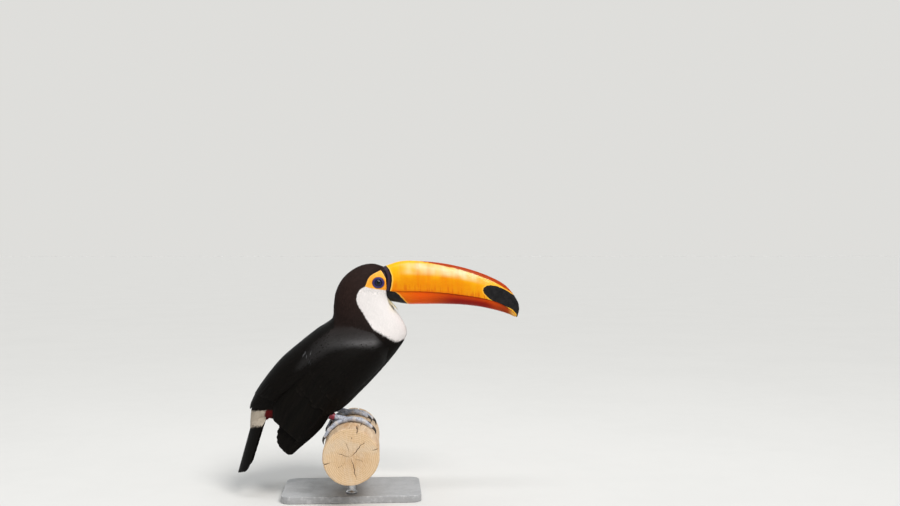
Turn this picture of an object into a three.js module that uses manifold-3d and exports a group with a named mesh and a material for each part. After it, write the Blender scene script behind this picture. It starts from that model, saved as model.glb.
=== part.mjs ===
// A life-size toco toucan at rest across a short length of debarked log, on a plain display stand.
// Millimetres, +Z up. The bird faces +X and the log lies along Y. The origin is the centre of the
// stand's underside. The bird's right side is at -Y.
import * as THREE from "three";
import { ParametricGeometry } from "three/addons/geometries/ParametricGeometry.js";
import { mergeVertices } from "three/addons/utils/BufferGeometryUtils.js";
import Module from "manifold-3d";

const wasm = await Module();
wasm.setup();

// ---------------------------------------------------------------- driving dimensions

const GAP = 0.3; // clearance between neighbouring solids
const LOG_RADIUS = 42;
const LOG_LENGTH = 200;
const LOG_AXIS_HEIGHT = 76; // above the floor
const STAND = { length: 210, depth: 130, thickness: 11, corner: 16, chamfer: 1.5 };
const ROD = { radius: 6, spacing: 84 };
const STANCE = 36; // each foot's distance from the middle plane
const EYE = { x: 40, z: 327.5, radius: 7.6, depth: 4.6 };

// The body's stations, from the tips of the tail coverts to the base of the bill. Each row gives
// the back line's x and z, the belly line's x and z, and half the width.
const BODY_STATIONS = [
  { back: [-157, 104], belly: [-139, 109], half: 11 },
  { back: [-156, 126], belly: [-126, 119], half: 17 },
  { back: [-152, 146], belly: [-104, 115], half: 26 },
  { back: [-138, 172], belly: [-62, 118], half: 37 },
  { back: [-111, 207], belly: [-20, 130], half: 44 },
  { back: [-83, 232], belly: [14, 160], half: 47 },
  { back: [-54, 255], belly: [48, 196], half: 46 },
  { back: [-32, 271], belly: [73, 227], half: 40 },
  { back: [-29, 292], belly: [84, 249], half: 34 },
  { back: [-26, 312], belly: [77, 270], half: 30 },
  { back: [-17, 331], belly: [66, 285], half: 27 },
  { back: [-3, 345], belly: [59, 296], half: 25 },
  { back: [14, 354], belly: [55, 304], half: 23.5 },
  { back: [32, 356.5], belly: [53.5, 310], half: 21.5 },
  { back: [49.5, 351.5], belly: [53, 315], half: 18.5 },
];
// The stations where the body is parted into rump, trunk, neck and head.
const PARTED_AT = { coverts: 0, rump: 2, trunk: 7, neck: 10, head: 14 };
const FULLNESS = { body: 0.1, chin: 0.42 }; // how much wider the body is below its middle

// The bill's stations, base to tip: the ridge, the mouth line and the keel as x and z, and half
// the width.
const BILL_STATIONS = [
  { ridge: [46, 351.5], mouth: [44, 314.5], keel: [46, 301], half: 18 },
  { ridge: [74, 360.3], mouth: [80, 314], keel: [82, 294.3], half: 19.2 },
  { ridge: [104, 360.5], mouth: [108, 313.4], keel: [108, 293.8], half: 18.4 },
  { ridge: [140, 357], mouth: [142, 311], keel: [140, 293.7], half: 17 },
  { ridge: [176, 349.3], mouth: [174, 307], keel: [171, 292.4], half: 15.2 },
  { ridge: [211, 337.3], mouth: [204, 302], keel: [200, 288.8], half: 13 },
  { ridge: [238, 322.5], mouth: [229, 294.5], keel: [226, 283], half: 10.2 },
  { ridge: [255, 302], mouth: [245, 284.6], keel: [242.5, 277.8], half: 7 },
  { ridge: [260, 287], mouth: [253, 277], keel: [250, 274.4], half: 4 },
  { ridge: [257, 272.5], mouth: [255.5, 272.8], keel: [253.5, 273], half: 1 },
];

// The folded wing's stations, bend to tips: its upper and lower edges as x and z, the distance
// from the middle plane at the upper edge, the middle and the lower edge, and its thickness.
const WING_STATIONS = [
  { upper: [47, 236], lower: [57, 215], side: [36, 34, 22], thick: 7 },
  { upper: [22, 246], lower: [42, 196], side: [37, 43, 28], thick: 12 },
  { upper: [-10, 243], lower: [17, 173], side: [38, 49, 35], thick: 13 },
  { upper: [-42, 229], lower: [-9, 148], side: [39, 51, 41], thick: 12 },
  { upper: [-70, 206], lower: [-33, 127], side: [39, 50, 44], thick: 11 },
  { upper: [-94, 178], lower: [-51, 102], side: [37, 48, 44], thick: 10 },
  { upper: [-115, 149], lower: [-68, 90], side: [35, 45, 43], thick: 8 },
  { upper: [-118, 121], lower: [-84, 83], side: [36, 42, 40], thick: 3 },
];
// The primaries that show past the wing's other feathers, laid out the same way.
const PRIMARY_STATIONS = [
  { upper: [-84, 158], lower: [-46, 110], side: [30, 36, 36], thick: 4 },
  { upper: [-104, 128], lower: [-61, 95], side: [31, 36, 36], thick: 5 },
  { upper: [-112, 104], lower: [-76, 83], side: [32, 36, 36], thick: 4.5 },
  { upper: [-111, 85], lower: [-87, 74], side: [33, 36, 35], thick: 3.5 },
  { upper: [-102, 71], lower: [-95, 68], side: [34, 35, 34.5], thick: 1.6 },
];
// The lobe of shoulder feathers and tertials that lies on the back and over the wing's edge. It
// runs between two body stations, and round the body from near the back line to its own edge.
const LOBE = {
  stations: [6.55, 1.5],
  inner: 0.03, // as a share of the way round the body
  outer: [0.1, 0.185, 0.205, 0.205, 0.2, 0.19, 0.13],
  thick: [2.5, 9],
  lift: 1, // its underside's clearance over the body
  sideRound: 0.35, // the powers of the sines that round its sides and its ends
  endRound: 0.4,
};
// How many mm of room round the lobe take up one station, and one turn round the body.
const LOBE_ROOM = { station: 10, turn: 150 };

const TAIL = {
  root: [-143, 150],
  tip: [-174, 35],
  rootHalf: 13,
  tipHalf: 25,
  arch: [20, 13.5], // how far the outer feathers drop below the middle ones, root and tip
  thick: 4.2,
  thinning: 0.45, // the share of its thickness lost by the tip
  openBy: 0.45, // where along it the full width is reached
  roundFrom: 0.86, // where along it the tip's rounding starts
  graduation: 9, // how much shorter the outermost feathers are
};

const THIGH = [
  { at: [-18, 30, 168], radius: 17 },
  { at: [-34, 34, 152], radius: 13.5 },
  { at: [-50, 35.5, 140], radius: 8.5 },
  { at: [-61, 36, 133.5], radius: 4.6 },
];
const ANKLE = { x: -60, z: 133.5 };
// The bare leg from foot to ankle: shares of the way, how far it bends up there, and its radii.
const TARSUS = {
  height: 4.4, // its lower end over the wood
  shares: [-0.06, 0.15, 0.5, 0.85, 1],
  bends: [0, 0.4, 0.2, 0, 0],
  radii: [4.2, 4, 3.5, 3.8, 4.4],
};
const RING = { x: -30, inner: 4.3, outer: 5.3, length: 8.5 };

// The toes: the angle round the log where each ends, from its crown towards +X, its spread across
// the foot towards the outer side, its radius and its claw's length in degrees.
const FOOT_ANGLE = -14;
const TOES = [
  { digit: 2, to: 31, spread: -9, radius: 3.7, claw: 15 },
  { digit: 3, to: 43, spread: 4, radius: 4, claw: 17 },
  { digit: 4, to: -64, spread: 9, radius: 3.8, claw: -16 },
  { digit: 1, to: -46, spread: -7, radius: 3.5, claw: -13 },
];
const TOE_SHAPE = { taper: 0.28, pads: 3, pad: 0.07, tip: 0.72 }; // shares of the radius
const CLAW_SHAPE = { root: 0.62, fine: 0.75, tip: 0.28, arch: 1.6, inToe: 2, narrow: 0.8 };
const LOG_SHAPE = { flats: 3, flat: 0.012, twist: 4, chamfer: 1.5 };

// ---------------------------------------------------------------- materials

const finish = (color, roughness, metalness = 0) =>
  new THREE.MeshStandardMaterial({ color, roughness, metalness });
const PLUMAGE_BLACK = finish(0x16130f, 0.75);
const PLUMAGE_WHITE = finish(0xeee8e0, 0.85);
const HORN_ORANGE = finish(0xf39212, 0.35);
const EYE_DARK = finish(0x14121c, 0.08);
const SKIN_BLUE_GREY = finish(0x8f9bb0, 0.55);
const CLAW_DARK = finish(0x2d2a2a, 0.4);
const RING_RED = finish(0x9c2440, 0.4);
const LOG_TAN = finish(0xc9a87e, 0.8);
const STAND_GREY = finish(0xa9aaac, 0.5);
const STEEL = finish(0xb4b6ba, 0.35, 0.9);

// ---------------------------------------------------------------- solids and their tools

// A closed mesh's geometry as a manifold-3d solid, turned outwards.
function solidOf(geometry) {
  const bare = geometry.clone().deleteAttribute("normal").deleteAttribute("uv");
  const merged = mergeVertices(bare, 1e-3);
  const kept = [];
  const index = merged.index.array;
  for (let i = 0; i < index.length; i += 3) {
    const [a, b, c] = [index[i], index[i + 1], index[i + 2]];
    if (a !== b && b !== c && c !== a) kept.push(a, b, c);
  }
  const build = (triVerts) =>
    new wasm.Manifold(
      new wasm.Mesh({
        numProp: 3,
        vertProperties: merged.attributes.position.array,
        triVerts: new Uint32Array(triVerts),
      }),
    );
  const solid = build(kept);
  return solid.volume() > 0 ? solid : build(kept.reverse());
}

// A surface of rings, closed by a fan at each end. ring(u, v) is the point at u round, v along.
function loft(ring, around, along) {
  const centre = (v) => {
    const sum = new THREE.Vector3();
    for (let i = 0; i < around; i++) sum.add(ring(i / around, v));
    return sum.divideScalar(around);
  };
  const ends = [centre(0), centre(1)];
  const rows = along + 2;
  const surface = (u, v, target) => {
    const row = Math.round(v * rows);
    if (row === 0) return target.copy(ends[0]);
    if (row === rows) return target.copy(ends[1]);
    return target.copy(ring(u % 1, (row - 1) / along));
  };
  return solidOf(new ParametricGeometry(surface, around, rows));
}

// The largest body of a solid that a cut has parted.
function largest(solid) {
  const bodies = solid.decompose().filter((body) => body.volume() > 0);
  return bodies.sort((a, b) => b.volume() - a.volume())[0];
}

function meshOf(name, solid, material) {
  const made = solid.getMesh();
  const stride = made.numProp;
  const positions = new Float32Array(made.numVert * 3);
  for (let i = 0; i < made.numVert; i++)
    positions.set(made.vertProperties.subarray(i * stride, i * stride + 3), i * 3);
  const geometry = new THREE.BufferGeometry()
    .setAttribute("position", new THREE.BufferAttribute(positions, 3))
    .setIndex(new THREE.BufferAttribute(made.triVerts, 1));
  geometry.computeVertexNormals();
  const mesh = new THREE.Mesh(geometry, material);
  mesh.name = name;
  return mesh;
}

// A smooth function of station number through one list of points or numbers.
function through(values) {
  const points = values.map((v) => new THREE.Vector3(...(Array.isArray(v) ? v : [v])));
  const curve = new THREE.CatmullRomCurve3(points, false, "catmullrom", 0.5);
  return (station) => curve.getPoint(station / (values.length - 1));
}

const clamp01 = (x) => Math.min(1, Math.max(0, x));
const radians = THREE.MathUtils.degToRad;

// ---------------------------------------------------------------- body

const backLine = through(BODY_STATIONS.map((s) => s.back));
const bellyLine = through(BODY_STATIONS.map((s) => s.belly));
const bodyHalf = through(BODY_STATIONS.map((s) => s.half));

// A point on the body's oval at a station: u runs round from the back, and grow swells it.
function bodyPoint(station, u, grow = 0) {
  const back = backLine(station);
  const belly = bellyLine(station);
  const angle = 2 * Math.PI * u;
  const height = Math.cos(angle);
  const middle = back.clone().add(belly).multiplyScalar(0.5);
  const up = back.clone().sub(belly);
  const reach = up.length() / 2 + grow;
  middle.addScaledVector(up.normalize(), height * reach);
  const half = bodyHalf(station).x + grow;
  const chin = THREE.MathUtils.smoothstep(station, PARTED_AT.neck, PARTED_AT.head);
  const fullness = FULLNESS.body + (FULLNESS.chin - FULLNESS.body) * chin;
  const across = Math.sin(angle) * half * (1 - fullness * height * (1 - 0.4 * chin * height));
  return new THREE.Vector3(middle.x, -across, middle.y);
}

function bodyLength(from, to, around, along, grow = 0) {
  const ring = (u, v) => bodyPoint(from + (to - from) * v, u, grow);
  return loft(ring, around, along);
}

// Parts of the body stop a little short of their shared station, which leaves the gap.
const PART_STEP = 0.012;
const between = (from, to, along) => bodyLength(from + PART_STEP, to - PART_STEP, 24, along);

// ---------------------------------------------------------------- wings and lobes

// A pad that lies on the body, a gap clear of it, between the lobe's inner and outer lines.
function lobeSolid(grow, around, along) {
  const stretch = grow / LOBE_ROOM.station;
  const turn = grow / LOBE_ROOM.turn;
  const from = LOBE.stations[0] + stretch;
  const to = LOBE.stations[1] - stretch;
  const start = LOBE.inner - turn;
  const outer = through(LOBE.outer);
  const ring = (u, v) => {
    const end = outer(v * (LOBE.outer.length - 1)).x + turn;
    const across = u < 0.5 ? 2 * u : 2 - 2 * u; // out over the top, back underneath
    const [thin, full] = LOBE.thick;
    const round = Math.sin(Math.PI * across) ** LOBE.sideRound;
    const swell = (thin + (full - thin) * across) * round;
    const taper = Math.sin(Math.PI * clamp01(v * 0.94 + 0.03)) ** LOBE.endRound;
    const height = LOBE.lift + (u < 0.5 ? swell * taper + grow : -grow);
    return bodyPoint(from + (to - from) * v, start + (end - start) * across, height);
  };
  return loft(ring, around, along);
}

// A flat shell with an oval section, bent over the side of the body.
function shell(stations, around, along) {
  const upper = through(stations.map((s) => s.upper));
  const lower = through(stations.map((s) => s.lower));
  const side = through(stations.map((s) => s.side));
  const thick = through(stations.map((s) => s.thick));
  const last = stations.length - 1;
  const ring = (u, v) => {
    const angle = 2 * Math.PI * u;
    const across = 0.5 - 0.5 * Math.cos(angle);
    const edge = upper(v * last).lerp(lower(v * last), across);
    const [top, middle, bottom] = side(v * last).toArray();
    const bend = top + (bottom - top) * across;
    const bulge = (middle - (top + bottom) / 2) * 4 * across * (1 - across);
    const out = bend + bulge + (thick(v * last).x / 2) * Math.sin(angle);
    return new THREE.Vector3(edge.x, -out, edge.y);
  };
  return loft(ring, around, along);
}

// ---------------------------------------------------------------- bill

const ridgeLine = through(BILL_STATIONS.map((s) => s.ridge));
const mouthLine = through(BILL_STATIONS.map((s) => s.mouth));
const keelLine = through(BILL_STATIONS.map((s) => s.keel));
const billHalf = through(BILL_STATIONS.map((s) => s.half));

// One half of the bill. The section is an arch over the mouth line, with a flat inner face.
function mandible(outerLine, share, from, to, around, along) {
  const ring = (u, v) => {
    const station = from + (to - from) * v;
    const mouth = mouthLine(station);
    const outer = outerLine(station);
    const up = outer.clone().sub(mouth);
    const depth = Math.max(up.length() - GAP / 2, 0.05);
    up.normalize();
    const angle = Math.PI * Math.min(u / 0.75, 1); // three quarters of the ring is the arch
    const inner = clamp01((u - 0.75) / 0.25);
    const half = billHalf(station).x * share;
    const across = u < 0.75 ? Math.cos(angle) : -1 + 2 * inner;
    const rise = u < 0.75 ? Math.sin(angle) ** 0.9 : 0;
    const point = mouth.clone().addScaledVector(up, GAP / 2 + depth * rise);
    return new THREE.Vector3(point.x, -half * across * (1 - 0.1 * (1 - rise)), point.y);
  };
  return loft(ring, around, along);
}

// ---------------------------------------------------------------- tail

function tail() {
  const root = new THREE.Vector2(...TAIL.root);
  const tip = new THREE.Vector2(...TAIL.tip);
  const along = tip.clone().sub(root);
  const length = along.length();
  along.normalize();
  const down = new THREE.Vector2(-along.y, along.x); // towards the belly side
  const ring = (u, v) => {
    const angle = 2 * Math.PI * u;
    const across = Math.cos(angle);
    const opening = THREE.MathUtils.smoothstep(v, 0, TAIL.openBy);
    const closing = clamp01((v - TAIL.roundFrom) / (1 - TAIL.roundFrom));
    const rounding = Math.sqrt(1 - 0.75 * closing ** 2);
    const half = (TAIL.rootHalf + (TAIL.tipHalf - TAIL.rootHalf) * opening) * rounding;
    const thick = (TAIL.thick / 2) * (1 - TAIL.thinning * v) * Math.sin(angle);
    const reach = length * v - TAIL.graduation * across * across * v;
    const arch = TAIL.arch[0] + (TAIL.arch[1] - TAIL.arch[0]) * v;
    const drop = arch * across * across + thick;
    const point = root.clone().addScaledVector(along, reach).addScaledVector(down, drop);
    return new THREE.Vector3(point.x, across * half, point.y);
  };
  return loft(ring, 20, 7);
}

// ---------------------------------------------------------------- legs and feet

// A round-sectioned limb through places with radii. across is the section's width over its height.
function limb(places, radii, around, along, across = 1) {
  const path = through(places);
  const radius = through(radii);
  const last = places.length - 1;
  const ring = (u, v) => {
    const centre = path(v * last);
    const ahead = path(Math.min(1, v + 0.02) * last);
    const behind = path(Math.max(0, v - 0.02) * last);
    const tangent = ahead.sub(behind).normalize();
    const sideways = new THREE.Vector3(0, 1, 0);
    const up = new THREE.Vector3().crossVectors(tangent, sideways).normalize();
    const aside = new THREE.Vector3().crossVectors(up, tangent).normalize();
    const angle = 2 * Math.PI * u;
    const reach = radius(v * last).x;
    return centre
      .addScaledVector(aside, Math.cos(angle) * reach * across)
      .addScaledVector(up, Math.sin(angle) * reach);
  };
  return loft(ring, around, along);
}

// The point at an angle round the log from its crown, at a height over its bark.
function overLog(degrees, y, height) {
  const angle = radians(degrees);
  const reach = LOG_RADIUS + height;
  return [Math.sin(angle) * reach, y, LOG_AXIS_HEIGHT + Math.cos(angle) * reach];
}

// side is -1 for the right leg and +1 for the left.
function toeSolid(toe, side) {
  const steps = 6;
  const places = [];
  const radii = [];
  for (let i = 0; i <= steps; i++) {
    const t = i / steps;
    const pad = 1 + TOE_SHAPE.pad * Math.cos(t * TOE_SHAPE.pads * 2 * Math.PI);
    const radius = toe.radius * (1 - TOE_SHAPE.taper * t) * pad;
    const degrees = FOOT_ANGLE + (toe.to - FOOT_ANGLE) * t;
    const y = side * (STANCE + toe.spread * Math.sin((t * Math.PI) / 2));
    places.push(overLog(degrees, y, GAP + radius));
    radii.push(i === steps ? radius * TOE_SHAPE.tip : radius);
  }
  return limb(places, radii, 6, 5);
}

function clawSolid(toe, side, grow = 0) {
  const steps = 5;
  const places = [];
  const radii = [];
  for (let i = 0; i <= steps; i++) {
    const t = i / steps;
    const { root, fine, tip } = CLAW_SHAPE;
    const radius = toe.radius * root * (1 - t) ** fine + tip;
    const arch = CLAW_SHAPE.arch * Math.sin(t * Math.PI);
    const degrees = toe.to - Math.sign(toe.claw) * CLAW_SHAPE.inToe + toe.claw * t;
    places.push(overLog(degrees, side * (STANCE + toe.spread), GAP + radius + arch));
    radii.push(radius + grow);
  }
  return limb(places, radii, 5, 4, CLAW_SHAPE.narrow);
}

function tarsusSolid(side, grow = 0) {
  const foot = overLog(FOOT_ANGLE, side * STANCE, GAP + TARSUS.height);
  const places = TARSUS.shares.map((t, i) => [
    foot[0] + (ANKLE.x - foot[0]) * t,
    side * STANCE,
    foot[2] + (ANKLE.z - foot[2]) * t + TARSUS.bends[i],
  ]);
  return limb(places, TARSUS.radii.map((r) => r + grow), 8, 4);
}

// ---------------------------------------------------------------- perch and stand

function logSolid(grow = 0) {
  const ring = (u, v) => {
    const angle = 2 * Math.PI * u;
    const { flats, flat, twist } = LOG_SHAPE;
    const waist = 1 - flat * Math.sin(flats * angle + twist * v) - flat;
    const chamfer = v === 0 || v === 1 ? LOG_SHAPE.chamfer : 0;
    const radius = LOG_RADIUS * waist + grow - chamfer;
    const y = LOG_LENGTH * (v - 0.5);
    return new THREE.Vector3(
      Math.sin(angle) * radius,
      y,
      LOG_AXIS_HEIGHT + Math.cos(angle) * radius,
    );
  };
  const edge = LOG_SHAPE.chamfer / LOG_LENGTH;
  const rows = [0, edge, 0.33, 0.67, 1 - edge, 1];
  return loft((u, v) => ring(u, rows[Math.round(v * (rows.length - 1))]), 24, rows.length - 1);
}

function standBase() {
  const { length, depth, thickness, corner, chamfer } = STAND;
  const [x, y] = [length / 2 - chamfer, depth / 2 - chamfer];
  const turn = corner - chamfer;
  const outline = new THREE.Shape();
  outline.moveTo(-x + turn, -y);
  outline.lineTo(x - turn, -y);
  outline.absarc(x - turn, -y + turn, turn, -Math.PI / 2, 0);
  outline.absarc(x - turn, y - turn, turn, 0, Math.PI / 2);
  outline.absarc(-x + turn, y - turn, turn, Math.PI / 2, Math.PI);
  outline.absarc(-x + turn, -y + turn, turn, Math.PI, 1.5 * Math.PI);
  const plate = new THREE.ExtrudeGeometry(outline, {
    depth: thickness - 2 * chamfer,
    bevelThickness: chamfer,
    bevelSize: chamfer,
    bevelSegments: 1,
    curveSegments: 4,
  });
  plate.translate(0, 0, chamfer);
  return solidOf(plate);
}

// A rod from the stand's top up into a saddle under the log.
function standRod(y, log) {
  const height = LOG_AXIS_HEIGHT - LOG_RADIUS + 4;
  const rod = new THREE.CylinderGeometry(ROD.radius, ROD.radius, height, 24);
  rod.rotateX(Math.PI / 2).translate(0, y, STAND.thickness + GAP + height / 2);
  return largest(solidOf(rod).subtract(log));
}

// ---------------------------------------------------------------- the whole bird

const toucan = new THREE.Group();
const add = (name, solid, material) => toucan.add(meshOf(name, solid, material));
const mirrored = (solid) => solid.mirror([0, 1, 0]);

const eyeSide = (x, z) => {
  // The head's half width at a point of its side, found where a station's line passes through it.
  let best = { miss: Infinity, y: 0 };
  for (let station = PARTED_AT.neck; station <= PARTED_AT.head; station += 0.05)
    for (let u = 0.1; u <= 0.4; u += 0.005) {
      const p = bodyPoint(station, u);
      const miss = Math.hypot(p.x - x, p.z - z);
      if (miss < best.miss) best = { miss, y: Math.abs(p.y) };
    }
  return best.y;
};
const eyeCentre = (side) => [EYE.x, side * (eyeSide(EYE.x, EYE.z) - EYE.depth), EYE.z];
function eyeball(side, grow = 0) {
  const ball = new THREE.SphereGeometry(EYE.radius + grow, 12, 8);
  ball.translate(...eyeCentre(side));
  return solidOf(ball);
}

const trunk = between(PARTED_AT.rump, PARTED_AT.trunk, 10);
const trunkRoom = bodyLength(PARTED_AT.coverts, PARTED_AT.head, 24, 28, GAP);
const tailSolid = tail();
// Twice the gap, because the rump's own facets stand a little outside these.
const tailRoom = bodyLength(PARTED_AT.coverts, PARTED_AT.rump, 24, 8, 2 * GAP);

let head = between(PARTED_AT.neck, PARTED_AT.head, 8);
for (const side of [-1, 1]) head = head.subtract(eyeball(side, GAP));

add("head", head, PLUMAGE_BLACK);
add("neck", between(PARTED_AT.trunk, PARTED_AT.neck, 6), PLUMAGE_WHITE);
add("trunk", trunk, PLUMAGE_BLACK);
add("rump", between(PARTED_AT.coverts, PARTED_AT.rump, 5), PLUMAGE_WHITE);
add("tail", largest(tailSolid.subtract(tailRoom)), PLUMAGE_BLACK);

const headRoom = bodyLength(PARTED_AT.neck, PARTED_AT.head, 24, 8, GAP);
const upperBill = mandible(ridgeLine, 1, 0.02, 9, 18, 15);
const lowerBill = mandible(keelLine, 0.9, 0.02, 8.8, 14, 11);
add("bill_upper", largest(upperBill.subtract(headRoom)), HORN_ORANGE);
add("bill_lower", largest(lowerBill.subtract(headRoom)), HORN_ORANGE);

// The right side's pieces, each made once and mirrored to the left.
const lobe = lobeSolid(0, 14, 11);
const lobeRoom = lobeSolid(GAP, 14, 11);
const wing = largest(shell(WING_STATIONS, 14, 11).subtract(trunkRoom).subtract(lobeRoom));
const thicker = (stations) => stations.map((s) => ({ ...s, thick: s.thick + 2 * GAP }));
const wingRoom = shell(thicker(WING_STATIONS), 14, 11);
const primaryRoom = shell(thicker(PRIMARY_STATIONS), 12, 7);
const primaries = largest(
  shell(PRIMARY_STATIONS, 12, 7).subtract(trunkRoom).subtract(wingRoom).subtract(lobeRoom),
);
const thighPlaces = THIGH.map((s) => [s.at[0], -s.at[1], s.at[2]]);
const thigh = largest(
  limb(thighPlaces, THIGH.map((s) => s.radius), 12, 6).subtract(trunkRoom).subtract(wingRoom),
);
const thighRoom = limb(thighPlaces, THIGH.map((s) => s.radius + GAP), 12, 6);
const ringCut = new THREE.CylinderGeometry(RING.outer, RING.outer, RING.length, 16);
const ringHole = new THREE.CylinderGeometry(RING.inner, RING.inner, 3 * RING.length, 16);

function legSolid(side) {
  let leg = tarsusSolid(side);
  for (const toe of TOES) leg = leg.add(toeSolid(toe, side));
  for (const toe of TOES) leg = leg.subtract(clawSolid(toe, side, GAP));
  return leg;
}

// The leg ring slides on the tarsus, so it is turned to lie along it.
function ringSolid(side) {
  const foot = overLog(FOOT_ANGLE, 0, GAP + TARSUS.height);
  const rise = Math.atan2(ANKLE.z - foot[2], foot[0] - ANKLE.x);
  const z = foot[2] + (foot[0] - RING.x) * Math.tan(rise) + 0.3;
  const place = (g) => g.rotateZ(Math.PI / 2).rotateY(rise).translate(RING.x, side * STANCE, z);
  return solidOf(place(ringCut)).subtract(solidOf(place(ringHole)));
}

for (const [name, side] of [["right", -1], ["left", 1]]) {
  const own = (solid) => (side < 0 ? solid : mirrored(solid));
  add(`wing_${name}`, own(wing), PLUMAGE_BLACK);
  add(`primaries_${name}`, own(primaries), PLUMAGE_BLACK);
  add(`tertials_${name}`, own(lobe), PLUMAGE_BLACK);
  add(`thigh_${name}`, own(thigh), PLUMAGE_BLACK);
  add(`eye_${name}`, eyeball(side), EYE_DARK);
  const leg = legSolid(side).subtract(own(thighRoom)).subtract(own(wingRoom));
  add(`leg_${name}`, largest(leg.subtract(own(primaryRoom))), SKIN_BLUE_GREY);
  for (const toe of TOES)
    add(`claw_${name}_${toe.digit}`, largest(clawSolid(toe, side)), CLAW_DARK);
}
add("leg_ring", ringSolid(-1), RING_RED);

// ---------------------------------------------------------------- perch and stand

add("perch", logSolid(), LOG_TAN);
add("stand_base", standBase(), STAND_GREY);
add("stand_rod_near", standRod(-ROD.spacing / 2, logSolid(GAP)), STEEL);
add("stand_rod_far", standRod(ROD.spacing / 2, logSolid(GAP)), STEEL);

export default toucan;
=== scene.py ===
"""A life-size toco toucan at rest on a short log and a plain display stand.

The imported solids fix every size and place. This file lays the skin, plumage, bill, eyes, feet,
log and stand over them. Shapes are worked out in millimetres and made in metres.
"""

import math

import bpy
import numpy as np
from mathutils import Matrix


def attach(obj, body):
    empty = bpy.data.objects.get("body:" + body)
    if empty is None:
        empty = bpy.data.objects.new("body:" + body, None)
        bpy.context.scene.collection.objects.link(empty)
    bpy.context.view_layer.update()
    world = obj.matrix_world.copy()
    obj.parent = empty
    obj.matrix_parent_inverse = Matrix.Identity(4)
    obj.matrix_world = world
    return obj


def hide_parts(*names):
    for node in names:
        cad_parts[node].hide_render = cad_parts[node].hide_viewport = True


bl_info = {
    "name": "Toco toucan",
    "version": (1, 0, 0),
    "blender": (4, 5, 0),
    "location": "3D View > Sidebar > Toucan",
    "description": "Plumage, bill, eyes, feet, log and stand of a still toco toucan",
    "category": "Object",
}

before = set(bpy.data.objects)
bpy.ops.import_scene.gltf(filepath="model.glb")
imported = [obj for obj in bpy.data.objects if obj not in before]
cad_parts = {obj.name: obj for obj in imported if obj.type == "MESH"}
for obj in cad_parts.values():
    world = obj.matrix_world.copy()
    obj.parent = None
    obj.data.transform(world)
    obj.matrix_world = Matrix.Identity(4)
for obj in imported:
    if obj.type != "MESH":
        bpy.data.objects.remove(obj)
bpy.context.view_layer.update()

MM = 0.001
TURN = 2 * np.pi

# ---- the bird's own measures, in mm

# Tips of the tail coverts to the base of the bill: back line x and z, belly line x and z, half
# the width.
BODY = [
    (-157, 104, -139, 109, 11),
    (-156, 126, -126, 119, 17),
    (-152, 146, -104, 115, 26),
    (-138, 172, -62, 118, 37),
    (-111, 207, -20, 130, 44),
    (-83, 232, 14, 160, 47),
    (-54, 255, 48, 196, 46),
    (-32, 271, 73, 227, 40),
    (-29, 292, 84, 249, 34),
    (-26, 312, 77, 270, 30),
    (-17, 331, 66, 285, 27),
    (-3, 345, 59, 296, 25),
    (14, 354, 55, 304, 23.5),
    (32, 356.5, 53.5, 310, 21.5),
    (49.5, 351.5, 53, 315, 18.5),
]
NECK, BILL_BASE = 10, 14  # stations
COAT_PARTS = (7.4, 10.3)  # stations where the neck's coat and the head's begin
FULLNESS = {"body": 0.1, "chin": 0.42}
# Base to tip: ridge, mouth line and keel as x and z, half the width.
BILL = [
    (46, 351.5, 44, 314.5, 46, 301, 18),
    (74, 360.3, 80, 314, 82, 294.3, 19.2),
    (104, 360.5, 108, 313.4, 108, 293.8, 18.4),
    (140, 357, 142, 311, 140, 293.7, 17),
    (176, 349.3, 174, 307, 171, 292.4, 15.2),
    (211, 337.3, 204, 302, 200, 288.8, 13),
    (238, 322.5, 229, 294.5, 226, 283, 10.2),
    (255, 302, 245, 284.6, 242.5, 277.8, 7),
    (260, 287, 253, 277, 250, 274.4, 4),
    (257, 272.5, 255.5, 272.8, 253.5, 273, 1),
]
# Bend to tips: upper edge x and z, lower edge x and z, side at top, middle and bottom, thickness.
WING = [
    (47, 236, 57, 215, 36, 34, 20, 7),
    (22, 246, 42, 196, 37, 43, 24, 12),
    (-10, 243, 17, 173, 38, 49, 31, 13),
    (-42, 229, -9, 148, 39, 51, 39, 12),
    (-70, 206, -33, 127, 39, 50, 43, 11),
    (-94, 178, -51, 102, 37, 48, 44, 10),
    (-115, 149, -68, 90, 35, 45, 43, 8),
    (-118, 121, -84, 83, 36, 42, 40, 3),
]
WING_DIP = 6.5  # at the bend, where it leaves the body's side
PRIMARIES = [
    (-84, 158, -46, 110, 31, 38, 38, 4),
    (-104, 128, -61, 95, 33, 38.5, 38.5, 5),
    (-112, 104, -76, 83, 34, 38, 38, 4.5),
    (-111, 85, -87, 74, 34, 37, 36.5, 3.5),
    (-102, 71, -95, 68, 34.5, 35.5, 35, 1.6),
]
LOBE = {"from": 6.55, "to": 1.5, "inner": 0.03, "thin": 2.5, "full": 9, "lift": 1}
LOBE_OUTER = [0.1, 0.185, 0.205, 0.205, 0.2, 0.19, 0.13]
TAIL = {"root": (-143, 150), "tip": (-174, 35), "half": (13, 25), "arch": (20, 13.5)}
TAIL_GRADUATION = 9
THIGH = [(-18, 30, 168, 17), (-34, 34, 152, 13.5), (-50, 35.5, 140, 8.5), (-61, 36, 133.5, 4.6)]
ANKLE = (-60, 133.5)
STANCE = 36
FOOT_ANGLE = -14
RING = {"x": -30, "inner": 4.3, "outer": 5.3, "length": 8.5}
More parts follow.
